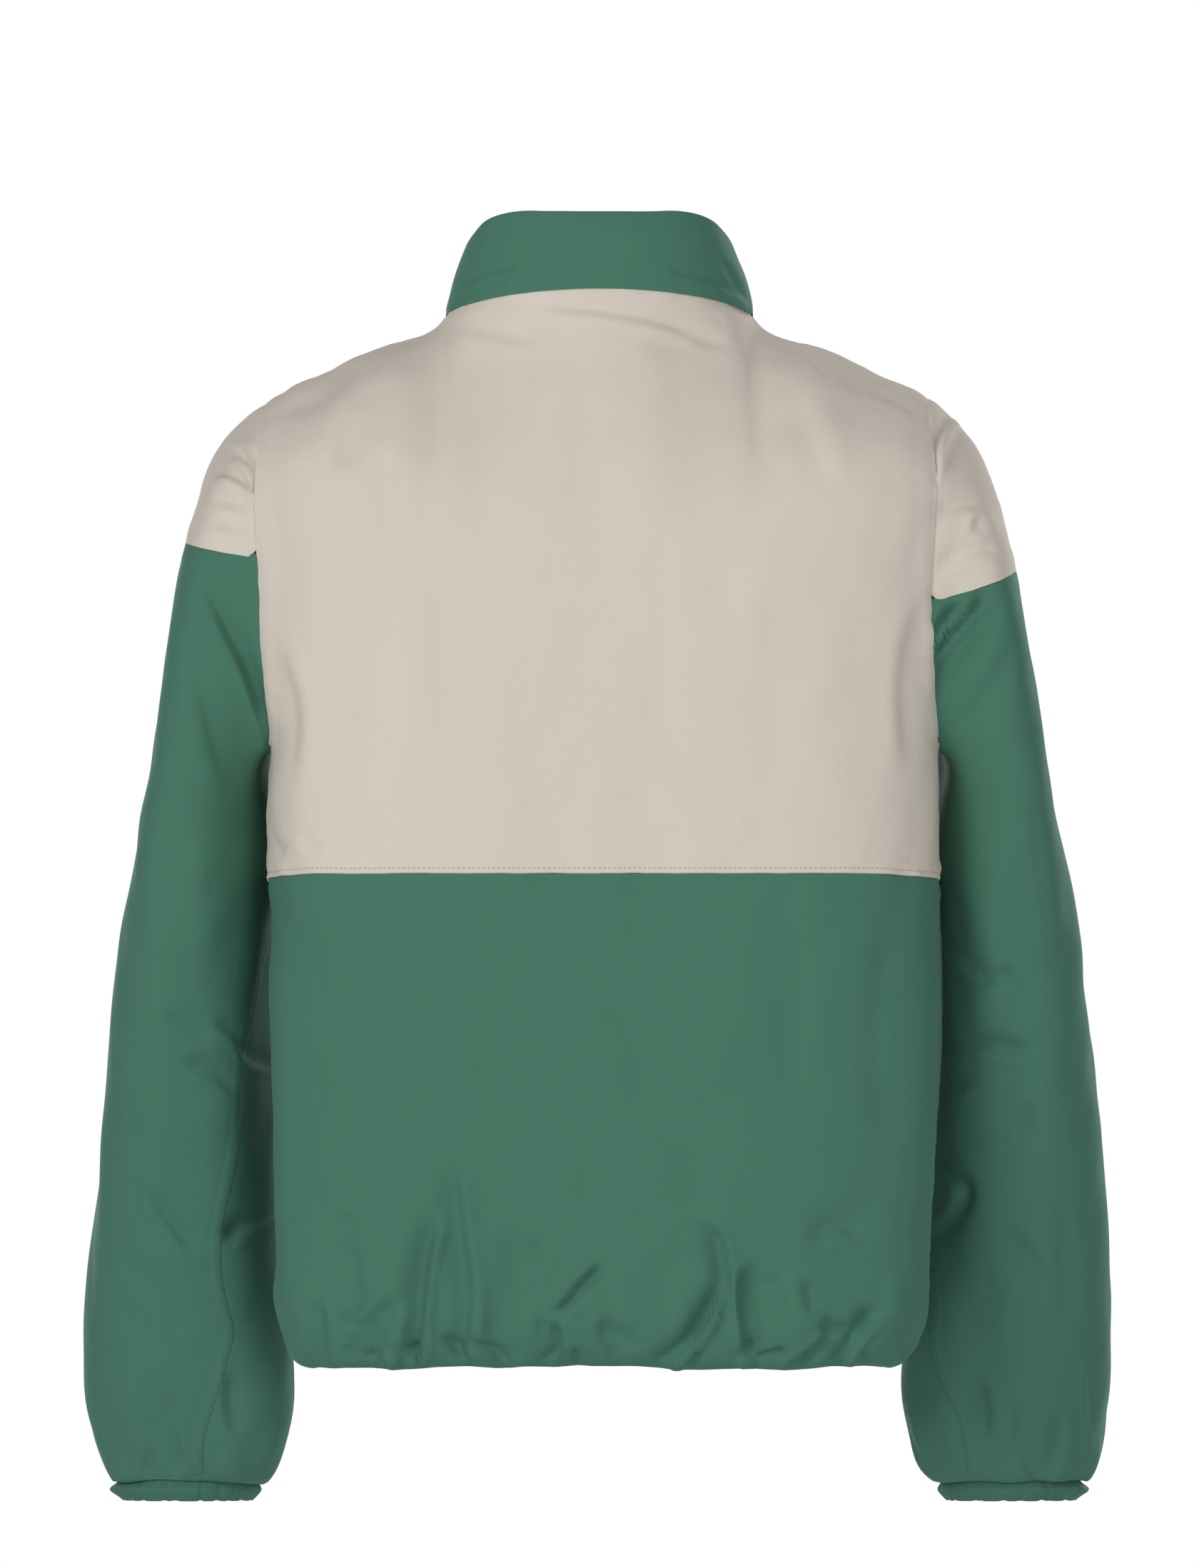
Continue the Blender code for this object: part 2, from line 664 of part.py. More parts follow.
# ---------------------------------------------------------------- the skin, cut into pieces
class Skin:
    """The garment's outer surface as one mesh, with each face marked with its piece."""

    def __init__(self):
        """Starts an empty skin."""
        self.blocks = []
        self.faces = []
        self.marks = []

    def add(self, rows, name, closed=False):
        """Adds rows of points as four-sided faces that belong to the named piece."""
        start = sum(len(block) for block in self.blocks)
        count, columns = rows.shape[:2]
        self.blocks.append(rows.reshape(-1, 3))
        for row in range(count - 1):
            for column in range(columns if closed else columns - 1):
                after = (column + 1) % columns
                corners = (row * columns + column, (row + 1) * columns + column)
                corners += ((row + 1) * columns + after, row * columns + after)
                self.faces.append(tuple(start + corner for corner in corners))
                self.marks.append(name)

    def weld(self):
        """Makes points that lie on each other one point."""
        points = np.concatenate(self.blocks)
        cells = np.round(points / WELD_CELL).astype(np.int64)
        _, first, index = np.unique(cells, axis=0, return_index=True, return_inverse=True)
        index = index.reshape(-1)
        self.points = points[first]
        self.faces = [tuple(dict.fromkeys(int(index[v]) for v in face)) for face in self.faces]

    def relax(self, rounds, names, held):
        """Evens out the named pieces' inner points, without shrinking them. Their edges and the held piece stay."""
        edges = {(a, b) for face in self.faces for a, b in zip(face, face[1:] + face[:1])}
        rim = {v for a, b in edges if (b, a) not in edges for v in (a, b)}
        wanted = {v for face, mark in zip(self.faces, self.marks) if mark in names for v in face}
        still = rim | {v for face, mark in zip(self.faces, self.marks) if mark == held for v in face}
        pairs = np.array(sorted({tuple(sorted(edge)) for edge in edges}))
        moving = np.zeros(len(self.points))
        moving[sorted(wanted - still)] = 1.0
        counts = np.zeros(len(self.points))
        np.add.at(counts, pairs.reshape(-1), 1.0)
        for _ in range(rounds):
            for strength in RELAX_STEPS:
                total = np.zeros_like(self.points)
                np.add.at(total, pairs[:, 0], self.points[pairs[:, 1]])
                np.add.at(total, pairs[:, 1], self.points[pairs[:, 0]])
                step = total / np.maximum(counts, 1.0)[:, None] - self.points
                self.points = self.points + step * (strength * moving)[:, None]

    def cut(self, name, upper_name, height_above):
        """Cuts the named piece where height_above is 0. What lies above becomes the upper piece."""
        mine = [n for n, mark in enumerate(self.marks) if mark == name]
        for v in {v for n in mine for v in self.faces[n]}:
            above = height_above(self.points[v])
            if abs(above) < CUT_SNAP:
                self.points[v] = self.points[v] - np.array([0.0, 0.0, above])
        points = list(self.points)
        crossing = {}

        def level(v):
            """1 above the seam, -1 below it, 0 on it."""
            above = height_above(points[v])
            return 0 if abs(above) < ON_SEAM else (1 if above > 0 else -1)

        def crossing_point(a, b):
            """The point where the seam crosses an edge, made once."""
            key = (min(a, b), max(a, b))
            if key not in crossing:
                first, second = height_above(points[a]), height_above(points[b])
                crossing[key] = len(points)
                points.append(points[a] + (points[b] - points[a]) * first / (first - second))
            return crossing[key]

        faces, marks = [], []
        for face, mark in zip(self.faces, self.marks):
            levels = [level(v) for v in face] if mark == name else [0]
            if mark != name or min(levels) >= 0 or max(levels) <= 0:
                faces.append(face)
                marks.append(upper_name if mark == name and max(levels) > 0 else mark)
                continue
            halves = {1: [], -1: []}
            for a, b in zip(face, face[1:] + face[:1]):
                for half in halves:
                    if level(a) in (half, 0):
                        halves[half].append(a)
                    if level(a) * level(b) < 0:
                        halves[half].append(crossing_point(a, b))
            for half, corners in halves.items():
                faces.append(tuple(dict.fromkeys(corners)))
                marks.append(upper_name if half == 1 else mark)
        self.points, self.faces, self.marks = np.array(points), faces, marks

    def normals(self):
        """Each point's outward direction, which beside the zip has no sideways part."""
        total = np.zeros_like(self.points)
        for face in self.faces:
            corners = self.points[list(face)]
            spokes = corners - corners.mean(axis=0)
            total[list(face)] += np.cross(spokes, np.roll(spokes, -1, axis=0)).sum(axis=0)
        beside_zip = (np.abs(self.points[:, 0]) < ZIP_HALF_GAP * 1.02) & (self.points[:, 1] < 0)
        total[beside_zip, 0] = 0.0
        return total / np.maximum(np.linalg.norm(total, axis=1), 1e-12)[:, None]

    def piece(self, name):
        """The faces of the named piece."""
        return [face for face, mark in zip(self.faces, self.marks) if mark == name]


def seam_steps(points, faces, normals):
    """For each point on a piece's edge, the step that takes it half a seam's gap into the piece."""
    edges = {(a, b) for face in faces for a, b in zip(face, face[1:] + face[:1])}
    rim = sorted(edge for edge in edges if (edge[1], edge[0]) not in edges)
    inward = {}
    for a, b in rim:
        across = np.cross(normals[a] + normals[b], points[b] - points[a])
        across /= max(np.linalg.norm(across), 1e-12)
        for point in (a, b):
            inward.setdefault(point, []).append(across)
    steps = {}
    for point, sides in inward.items():
        total = np.sum(sides, axis=0)
        steps[point] = total * (SEAM_GAP / 2) / max(float(total @ sides[0]), 0.5)
    return steps, rim


def wall_object(name, points, faces, normals, thickness, material, recess=0.0):
    """One piece of cloth as a closed wall: its outer face, its inner face and its edges."""
    steps, rim = seam_steps(points, faces, normals)
    used = sorted({v for face in faces for v in face})
    place = {v: n for n, v in enumerate(used)}
    based = [points[v] + steps.get(v, 0.0) for v in used]
    outer = [base - normals[v] * recess for v, base in zip(used, based)]
    inner = [base - normals[v] * (recess + thickness) for v, base in zip(used, based)]
    count = len(used)
    walls = [[place[v] for v in face] for face in faces]
    walls += [[count + place[v] for v in reversed(face)] for face in faces]
    walls += [[place[b], place[a], count + place[a], count + place[b]] for a, b in rim]
    return mesh_object(name, outer + inner, walls, material)


def mesh_object(name, points, faces, material):
    """A named object from points and faces, with its own material."""
    mesh = bpy.data.meshes.new(name)
    mesh.from_pydata([tuple(map(float, p)) for p in points], [], [list(map(int, f)) for f in faces])
    bm = bmesh.new()
    bm.from_mesh(mesh)
    bmesh.ops.triangulate(bm, faces=bm.faces, quad_method="SHORT_EDGE")
    bmesh.ops.recalc_face_normals(bm, faces=bm.faces)
    bm.to_mesh(mesh)
    bm.free()
    mesh.materials.append(material)
    mesh.shade_smooth()
    mesh.set_sharp_from_angle(angle=math.radians(50))
    obj = bpy.data.objects.new(name, mesh)
    bpy.context.scene.collection.objects.link(obj)
    return obj


def finish(name, colour, roughness, metallic=0.0):
    """A plain material."""
    material = bpy.data.materials.new(name)
    material.use_nodes = True
    shader = material.node_tree.nodes["Principled BSDF"]
    shader.inputs["Base Color"].default_value = (*colour, 1.0)
    shader.inputs["Roughness"].default_value = roughness
    shader.inputs["Metallic"].default_value = metallic
    return material


# ---------------------------------------------------------------- the jacket's parts
def body_skin():
    """The whole skin of body, sleeves, cuffs and collar, and the front edge's path from top to hem."""
    skin = Skin()
    upper = {(side, face): upper_rows(side, face) for side in ("left", "right") for face in SQUARENESS}
    lower = {(side, face): lower_rows(side, face) for side in ("left", "right") for face in SQUARENESS}
    collar = {}
    for side in ("left", "right"):
        back, front = upper[side, "back"], upper[side, "front"]
        front[0, NECK_COLUMNS["front"] :] = back[0, NECK_COLUMNS["back"] :]
        front[ARMHOLE_ROWS:, -1] = back[ARMHOLE_ROWS:, -1]
        lower[side, "front"][:, -1] = lower[side, "back"][:, -1]
        for face in SQUARENESS:
            neck = upper[side, face][0, : NECK_COLUMNS[face] + 1]
            collar[side, face] = collar_rows(side, face, neck)

    def across_back(rows):
        """The left and right halves of the back as one grid."""
        left, right = mirrored(rows["left", "back"], "left"), mirrored(rows["right", "back"], "right")
        return np.concatenate([left[:, ::-1], right[:, 1:]], axis=1)

    skin.add(across_back(upper), "back_yoke")
    skin.add(across_back(lower), "back_lower")
    left_collar = [collar["left", "front"], collar["left", "back"][:, :-1][:, ::-1]]
    right_collar = [collar["right", "back"][:, 1:], collar["right", "front"][:, :-1][:, ::-1]]
    rows = [mirrored(part, "left") for part in left_collar]
    rows += [mirrored(part, "right") for part in right_collar]
    skin.add(np.concatenate(rows, axis=1), "collar")
    for side in ("left", "right"):
        turned = slice(None) if side == "left" else slice(None, None, -1)
        skin.add(mirrored(upper[side, "front"], side)[:, turned], f"front_yoke_{side}")
        skin.add(mirrored(lower[side, "front"], side)[:, turned], f"front_lower_{side}")
        loop = np.concatenate(
            [upper[side, "back"][: ARMHOLE_ROWS + 1, -1], upper[side, "front"][1:ARMHOLE_ROWS, -1][::-1]]
        )
        rings = sleeve_rings(side, loop)
        skin.add(mirrored(rings, side)[:, turned], f"sleeve_{side}", closed=True)
        skin.add(mirrored(cuff_rings(rings[-1]), side)[:, turned], f"cuff_{side}", closed=True)
    skin.weld()
    relaxed = {f"{part}_{side}" for part in ("front_yoke", "sleeve") for side in ("left", "right")}
    skin.relax(RELAX_ROUNDS, relaxed | {"back_yoke"}, held="collar")
    for side, seam in CAP_SEAM.items():
        skin.cut(f"sleeve_{side}", f"sleeve_cap_{side}", seam_height(seam))
    edge = [collar["left", "front"][:-1, 0], upper["left", "front"][:-1, 0]]
    edge.append(lower["left", "front"][: SKIRT_ROWS + 1 + HIDDEN_HEM_ROWS, 0])
    return skin, np.concatenate(edge)


def seam_height(seam):
    """A function that gives how far a point lies above a cap's seam."""

    def above(point):
        """How far the point lies above the seam."""
        x, y, z = point
        return z - (seam.z + seam.rise_x * (abs(x) - seam.x) + seam.rise_y * y)

    return above


def zip_tapes(path, material):
    """The two tapes between the fronts' edges. Returns the depth of their foremost point by the slider."""
    for side in ("left", "right"):
        edge = path.copy()
        edge[:, 0] = ZIP_HALF_GAP
        middle = path.copy()
        middle[:, 0] = 0.0
        rows = mirrored(np.stack([middle, edge], axis=1), side)
        tape = Skin()
        tape.add(rows if side == "left" else rows[:, ::-1], "tape")
        tape.weld()
        wall_object(
            f"zip_tape_{side}", tape.points, tape.faces, tape.normals(), ZIP_TAPE_THICKNESS, material,
            recess=ZIP_TAPE_RECESS,
        )
    heights = SLIDER_Z + SLIDER_SIZE[2] * np.linspace(-0.5, 0.5, 9)
    return float(np.interp(heights, path[::-1, 2], path[::-1, 1]).min()) + ZIP_TAPE_RECESS


def box_mesh(bm, size, centre):
    """Adds a box to a bmesh, size and centre in metres."""
    made = bmesh.ops.create_cube(bm, size=1.0)
    for vert in made["verts"]:
        vert.co = [c * s + m for c, s, m in zip(vert.co, size, centre)]


def joined(name, base, others):
    """The base object with the others united with it."""
    for other in others:
        union = base.modifiers.new(f"with_{other.name}", "BOOLEAN")
        union.operation = "UNION"
        union.object = other
        other.hide_render = True
        other.display_type = "WIRE"
    base.name = name
    return base


def object_from(name, bm, material):
    """A named object from a bmesh, with its own material."""
    mesh = bpy.data.meshes.new(name)
    bmesh.ops.recalc_face_normals(bm, faces=bm.faces)
    bm.to_mesh(mesh)
    bm.free()
    mesh.materials.append(material)
    obj = bpy.data.objects.new(name, mesh)
    bpy.context.scene.collection.objects.link(obj)
    return obj


def bar_mesh(bm, radius, length, centre):
    """Adds a round bar along X."""
    rings = []
    for end in (-0.5, 0.5):
        ring = []
        for n in range(BAR_SIDES):
            turn = 2 * math.pi * n / BAR_SIDES
            y, z = radius * math.cos(turn), radius * math.sin(turn)
            ring.append(bm.verts.new((centre[0] + end * length, centre[1] + y, centre[2] + z)))
        rings.append(ring)
    for n in range(BAR_SIDES):
        after = (n + 1) % BAR_SIDES
        bm.faces.new((rings[0][n], rings[1][n], rings[1][after], rings[0][after]))
    bm.faces.new(rings[0])
    bm.faces.new(rings[1])


def zip_slider(tape_y, material):
    """The slider in front of the tapes, with two ears that hold the pull tab's bar."""
    back_y = tape_y - SEAM_GAP
    front_y = back_y - SLIDER_SIZE[1]
    bm = bmesh.new()
    box_mesh(bm, SLIDER_SIZE, (0.0, (back_y + front_y) / 2, SLIDER_Z))
    bmesh.ops.bevel(bm, geom=list(bm.edges), offset=SLIDER_BEVEL, segments=2, profile=0.5, affect="EDGES")
    slider = object_from("slider_body", bm, material)
    ear_x = PULL_EYE_WIDTH / 2 + SEAM_GAP + SLIDER_EAR[0] / 2
    extras = []
    for n, sign in enumerate((1, -1)):
        bm = bmesh.new()
        box_mesh(bm, SLIDER_EAR, (sign * ear_x, front_y - SLIDER_EAR[1] / 2 + SLIDER_EAR_ROOT, SLIDER_Z))
        extras.append(object_from(f"ear_{n}", bm, material))
    bm = bmesh.new()
    axis_y = front_y - PULL_AXIS_REACH
    bar_mesh(bm, PULL_BAR_RADIUS, 2 * ear_x, (0.0, axis_y, SLIDER_Z))
    extras.append(object_from("bar", bm, material))
    joined("zip_slider", slider, extras)
    return axis_y


def zip_pull(axis_y, material):
    """The pull tab, with its eye round the slider's bar. Its origin is on the hinge's axis."""
    bm = bmesh.new()
    outer_radius = PULL_EYE_RADIUS + PULL_EYE_WALL
    rings = {}
    for end in (-0.5, 0.5):
        for label, radius in (("inner", PULL_EYE_RADIUS), ("outer", outer_radius)):
            ring = []
            for n in range(EYE_SIDES):
                turn = 2 * math.pi * n / EYE_SIDES
                y, z = radius * math.sin(turn), radius * math.cos(turn)
                ring.append(bm.verts.new((end * PULL_EYE_WIDTH, y, z)))
            rings[end, label] = ring
    for n in range(EYE_SIDES):
        after = (n + 1) % EYE_SIDES
        for label in ("inner", "outer"):
            first, second = rings[-0.5, label], rings[0.5, label]
            bm.faces.new((first[n], second[n], second[after], first[after]))
        for end in (-0.5, 0.5):
            inner, outer = rings[end, "inner"], rings[end, "outer"]
            bm.faces.new((inner[n], outer[n], outer[after], inner[after]))
    eye = object_from("pull_eye", bm, material)
    neck_top = -PULL_EYE_RADIUS - PULL_NECK_OVERLAP
    tab_top = neck_top - PULL_NECK[2] + PULL_TAB_OVERLAP
    bm = bmesh.new()
    box_mesh(bm, PULL_NECK, (0.0, 0.0, neck_top - PULL_NECK[2] / 2))
    neck = object_from("pull_neck", bm, material)
    bm = bmesh.new()
    box_mesh(bm, PULL_TAB, (0.0, 0.0, tab_top - PULL_TAB[2] / 2))
    bmesh.ops.bevel(bm, geom=list(bm.edges), offset=PULL_BEVEL, segments=2, profile=0.5, affect="EDGES")
    tab = object_from("pull_tab", bm, material)
    joined("zip_pull", eye, [neck, tab])
    for obj in (eye, neck, tab):
        obj.location = (0.0, axis_y, SLIDER_Z)


def main():
    """Builds the whole jacket."""
    for obj in list(bpy.data.objects):
        bpy.data.objects.remove(obj)
    skin, front_edge = body_skin()
    normals = skin.normals()
    for name in sorted(set(skin.marks)):
        cream = "yoke" in name or "cap" in name
        material = finish(f"{name}_cloth", CREAM if cream else GREEN, 0.6)
        thickness = COLLAR_WALL if name == "collar" else WALL
        wall_object(name, skin.points, skin.piece(name), normals, thickness, material)
    tape_y = zip_tapes(front_edge, finish("zip_tape", GREEN, 0.7))
    axis_y = zip_slider(tape_y, finish("slider_metal", METAL, 0.35, metallic=1.0))
    zip_pull(axis_y, finish("pull_metal", METAL, 0.35, metallic=1.0))


main()
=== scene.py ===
"""Dresses a lightly padded two-colour jacket, filled out as worn with no wearer in it, seen from behind.

Metres, +Z up. The jacket faces -Y, its back faces +Y, and its left side is +X. Each cut piece of cloth is a
thin shell on the form of its solid, with its creases laid over that form from listed tables.
"""

from __future__ import annotations

import json
import logging
import math
from dataclasses import dataclass, field
from enum import Enum

import bpy
import numpy as np
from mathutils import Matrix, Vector
from mathutils.bvhtree import BVHTree

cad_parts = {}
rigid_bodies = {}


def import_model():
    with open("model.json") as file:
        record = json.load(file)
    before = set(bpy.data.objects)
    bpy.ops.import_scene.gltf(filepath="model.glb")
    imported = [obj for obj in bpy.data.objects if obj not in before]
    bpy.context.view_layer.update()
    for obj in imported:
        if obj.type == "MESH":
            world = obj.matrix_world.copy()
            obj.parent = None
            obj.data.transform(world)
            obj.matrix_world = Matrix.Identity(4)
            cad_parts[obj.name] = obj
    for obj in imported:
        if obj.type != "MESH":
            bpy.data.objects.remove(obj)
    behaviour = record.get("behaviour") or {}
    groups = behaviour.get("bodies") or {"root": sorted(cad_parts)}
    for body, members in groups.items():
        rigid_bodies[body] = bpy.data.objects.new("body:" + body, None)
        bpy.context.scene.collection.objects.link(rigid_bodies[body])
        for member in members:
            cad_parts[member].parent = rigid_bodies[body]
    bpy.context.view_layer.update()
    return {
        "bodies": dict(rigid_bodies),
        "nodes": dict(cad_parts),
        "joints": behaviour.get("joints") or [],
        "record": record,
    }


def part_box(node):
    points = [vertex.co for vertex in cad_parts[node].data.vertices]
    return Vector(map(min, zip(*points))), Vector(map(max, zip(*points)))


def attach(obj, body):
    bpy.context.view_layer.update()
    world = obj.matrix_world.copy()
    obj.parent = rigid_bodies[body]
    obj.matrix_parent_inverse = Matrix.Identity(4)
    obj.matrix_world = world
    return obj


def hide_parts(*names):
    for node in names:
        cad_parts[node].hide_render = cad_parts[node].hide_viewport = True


LOG = logging.getLogger("jacket")
Array = np.ndarray
Path = tuple[tuple[float, float], ...]

MILLIMETRE = 0.001
UNDER_REACH = 0.0025
JACKET_BODY = "jacket"


def table(kind: type, *rows: tuple) -> tuple:
    """Rows of one kind, from their plain values."""
    return tuple(kind(*row) for row in rows)


class Side(Enum):
    """The jacket's own left and right."""

    LEFT = "left"
    RIGHT = "right"

    @property
    def sign(self) -> float:
        """+1 on the jacket's left, which is +X."""
        return 1.0 if self is Side.LEFT else -1.0


class Face(Enum):
    """The jacket's back and front."""

    BACK = "back"
    FRONT = "front"

    @property
    def sign(self) -> float:
        """+1 on the back, which faces +Y."""
        return 1.0 if self is Face.BACK else -1.0


class Edge(Enum):
    """How a panel's edge is made."""

    SEAM = "sewn down over its neighbour, so it dips into the seam"
    UNDER = "runs on under its neighbour's edge"
    LAPPED = "turned under and lapped over its neighbour"
    FOLD = "folded over, with no seam"


# ---------------------------------------------------------------- small mathematics
def ease(t: Array | float) -> Array:
    """A smooth step.

    Args:
        t: where on the step, 0 to 1.

    Returns:
        The step's height, 0 to 1.
    """
    t = np.clip(t, 0.0, 1.0)
    return t * t * (3 - 2 * t)


def through(rows: tuple, key: str, column: str, at: Array | float) -> Array:
    """Reads a table on a smooth curve through its rows.

    Args:
        rows: the table's rows, in order of the key.
        key: the name of the column to look up.
        column: the name of the column to read.
        at: where to look up.

    Returns:
        The column's values there.
    """
    xs = np.array([getattr(row, key) for row in rows], float)
    ys = np.array([getattr(row, column) for row in rows], float)
    if xs[0] > xs[-1]:
        xs, ys = xs[::-1], ys[::-1]
    slopes = np.gradient(ys, xs)
    at = np.clip(np.asarray(at, float), xs[0], xs[-1])
    i = np.clip(np.searchsorted(xs, at, side="right") - 1, 0, len(xs) - 2)
    step = xs[i + 1] - xs[i]
    t = (at - xs[i]) / step
    return (
        (1 + 2 * t) * (1 - t) ** 2 * ys[i]
        + t * (1 - t) ** 2 * step * slopes[i]
        + t * t * (3 - 2 * t) * ys[i + 1]
        + t * t * (t - 1) * step * slopes[i + 1]
    )


def mirrored(points: Array, side: Side) -> Array:
    """Points worked out for the left side, taken to the given side."""
    return points * np.array([side.sign, 1.0, 1.0])


def unit(vectors: Array) -> Array:
    """Vectors made one long."""
    return vectors / np.maximum(np.linalg.norm(vectors, axis=-1, keepdims=True), 1e-12)


# ---------------------------------------------------------------- the tables of the form
@dataclass(frozen=True)
class BodyLevel:
    """The body's section at one height: its half widths, and the depths of its back and front."""

    z: float
    left: float
    right: float
    back: float
    front: float


@dataclass(frozen=True)
class ShoulderPoint:
    """The shoulder line from the neck outwards. The last row lies past its tip."""

    x: float
    z: float


@dataclass(frozen=True)
class Rounding:
    """How far below the top edge the back and front have reached their full depth."""

    x: float
    back: float
    front: float


@dataclass(frozen=True)
class HemTurn:
    """The hem's turn: how far it has come in from the body, and its height."""

    inset: float
    z: float


@dataclass(frozen=True)
class SleeveLevel:
    """The sleeve's section at one height, as half sizes before it is turned by yaw degrees."""

    z: float
    x: float
    y: float
    half_x: float
    half_y: float
    yaw: float


@dataclass(frozen=True)
class ArmholeHandle:
    """How the sleeve leaves the armhole, by the share of the way round it from the shoulder over the back.

    out, back and drop are the first step away from the armhole. lower is how far above its first level the
    sleeve already runs straight.
    """

    share: float
    out: float
    back: float
    drop: float
    lower: float


@dataclass(frozen=True)
class CapFullness:
    """How much further out the cap starts and goes on at the outer arm."""

    start: float
    further: float


@dataclass(frozen=True)
class SleeveFold:
    """A soft trough across a sleeve, from one turn round the arm (degrees from outside) to another."""

    from_turn: float
    from_z: float
    to_turn: float
    to_z: float
    width: float
    depth: float


@dataclass(frozen=True)
class CapSeam:
    """The plane of the seam between a cap and its sleeve: its height at the outer arm, and its slopes."""

    z: float
    x: float
    rise_x: float
    rise_y: float

    def height_above(self, points: Array) -> Array:
        """How far points lie above the seam's plane."""
        x, y, z = points[..., 0], points[..., 1], points[..., 2]
        return z - (self.z + self.rise_x * (np.abs(x) - self.x) + self.rise_y * y)


@dataclass(frozen=True)
class CollarPoint:
    """The collar's top edge by the turn round the neck, in degrees from the centre back."""

    turn: float
    x: float
    y: float
    z: float


UNDERARM_Z = -0.245
ZIP_HALF_GAP = 0.0070


def with_zip_edge(rows: Array, face: Face) -> Array:
    """A front's rows with their first column at the zip's edge, and the next columns eased over."""
    if face is Face.FRONT:
        rows[:, :, 0] += ZIP_HALF_GAP * np.exp(-rows[:, :, 0] / 0.012)
    return rows


# ---------------------------------------------------------------- the body's form
@dataclass
class Torso:
    """The body's outer surface, as rows of points for one half of its back or front."""

    levels: tuple[BodyLevel, ...] = table(
        BodyLevel,
        (-0.620, 0.1885, 0.1905, 0.106, -0.126),
        (-0.560, 0.1885, 0.1915, 0.108, -0.128),
        (-0.500, 0.1892, 0.1922, 0.110, -0.130),
        (-0.440, 0.1893, 0.1950, 0.111, -0.132),
        (-0.380, 0.1908, 0.1974, 0.112, -0.133),
        (-0.340, 0.1880, 0.1970, 0.113, -0.133),
        (-0.300, 0.1918, 0.1956, 0.114, -0.133),
        (-0.270, 0.1912, 0.1950, 0.115, -0.133),
        (UNDERARM_Z, 0.1890, 0.1936, 0.115, -0.132),
        (-0.190, 0.1930, 0.1903, 0.116, -0.130),
        (-0.130, 0.1955, 0.1905, 0.115, -0.126),
        (-0.090, 0.1980, 0.1935, 0.113, -0.121),
        (-0.050, 0.1915, 0.1875, 0.110, -0.116),
        (0.030, 0.1800, 0.1760, 0.104, -0.108),
    )
    shoulder: tuple[ShoulderPoint, ...] = table(
        ShoulderPoint,
        (0.088, 0.0005),
        (0.098, -0.0025),
        (0.119, -0.0095),
        (0.158, -0.0260),
        (0.187, -0.0425),
        (0.208, -0.0590),
    )
    rounding: tuple[Rounding, ...] = table(
        Rounding,
        (0.000, 0.135, 0.150),
        (0.060, 0.125, 0.135),
        (0.120, 0.095, 0.105),
        (0.200, 0.062, 0.066),
    )
    hem_turn: tuple[HemTurn, ...] = table(
        HemTurn,
        (0.0030, -0.5820),
        (0.0080, -0.5908),
        (0.0155, -0.5974),
        (0.0240, -0.5984),
        (0.0290, -0.5915),
    )
    shoulder_tip_x: dict[Side, float] = field(default_factory=lambda: {Side.LEFT: 0.190, Side.RIGHT: 0.185})
    neck_half_width: float = 0.088
    neck_back_y: float = 0.078
    neck_front_y: float = -0.084
    neck_seam_z: dict[Face, float] = field(default_factory=lambda: {Face.BACK: 0.0214, Face.FRONT: -0.030})
    neck_side_z: float = 0.0055
    middle_y: float = 0.030
    squareness: dict[Face, float] = field(default_factory=lambda: {Face.BACK: 3.0, Face.FRONT: 2.15})
    colour_seam_z: float = -0.3125
    colour_seam_dip: float = 0.005
    hem_roll_z: float = -0.573
    hem_draw: float = 0.0028
    armhole_margin: float = 0.020
    front_armhole_inset: float = 0.024
    shoulder_columns: int = 9
    neck_columns: dict[Face, int] = field(default_factory=lambda: {Face.BACK: 8, Face.FRONT: 7})
    lower_columns: dict[Face, int] = field(default_factory=lambda: {Face.BACK: 22, Face.FRONT: 19})
    armhole_rows: int = 12
    chest_rows: int = 3
    skirt_rows: int = 8

    def shoulder_z(self, x: Array | float) -> Array:
        """The shoulder line's height, with its short rise at the neck."""
        rise = self.neck_side_z * np.exp(-(x - self.neck_half_width) / 0.004)
        return through(self.shoulder, "x", "z", x) + np.where(x >= self.neck_half_width, rise, 0.0)

    def tip_z(self, side: Side) -> float:
        """The height of the shoulder's tip."""
        return float(self.shoulder_z(self.shoulder_tip_x[side]))

    def armhole_share(self, side: Side, z: Array | float) -> Array:
        """0 at the shoulder's tip, 1 at the underarm."""
        tip = self.tip_z(side)
        return np.clip((tip - z) / (tip - UNDERARM_Z), 0.0, 1.0)

    def armhole_x(self, side: Side, face: Face, z: Array | float) -> Array:
        """The armhole's distance from the middle at a height."""
        share = self.armhole_share(side, z)
        tip = through(self.levels, "z", side.value, self.tip_z(side))
        to_tip = self.shoulder_tip_x[side] - float(tip)
        inset = self.front_armhole_inset * np.sin(math.pi * share) ** 0.8 if face is Face.FRONT else 0.0
        return through(self.levels, "z", side.value, z) + to_tip * (1 - share) ** 4 - inset

    def half_width(self, side: Side, z: Array | float) -> Array:
        """The half width of the body's own section. Above the underarm the armhole cuts into it."""
        z = np.asarray(z, float)
        margin = self.armhole_margin * (1 - self.armhole_share(side, z)) ** 1.3
        above = self.armhole_x(side, Face.BACK, z) + margin
        return np.where(z < UNDERARM_Z, through(self.levels, "z", side.value, z), above)

    def neck_turn(self, x: Array | float) -> Array:
        """How far round the neck a distance from the middle lies, 1 at the middle."""
        return np.sqrt(np.clip(1 - (x / self.neck_half_width) ** 2, 0.0, 1.0))

    def top_height(self, face: Face, x: Array | float) -> Array:
        """The height of the neck seam or the shoulder line."""
        rise = self.neck_seam_z[face] - self.neck_side_z
        neck = self.neck_side_z + rise * self.neck_turn(x) ** (1.3 if face is Face.BACK else 0.85)
        return np.where(x < self.neck_half_width, neck, self.shoulder_z(x))

    def reach(self, face: Face, z: Array | float) -> Array:
        """How far the back or front lies from the plane of the side seams."""
        return through(self.levels, "z", face.value, z) - self.middle_y

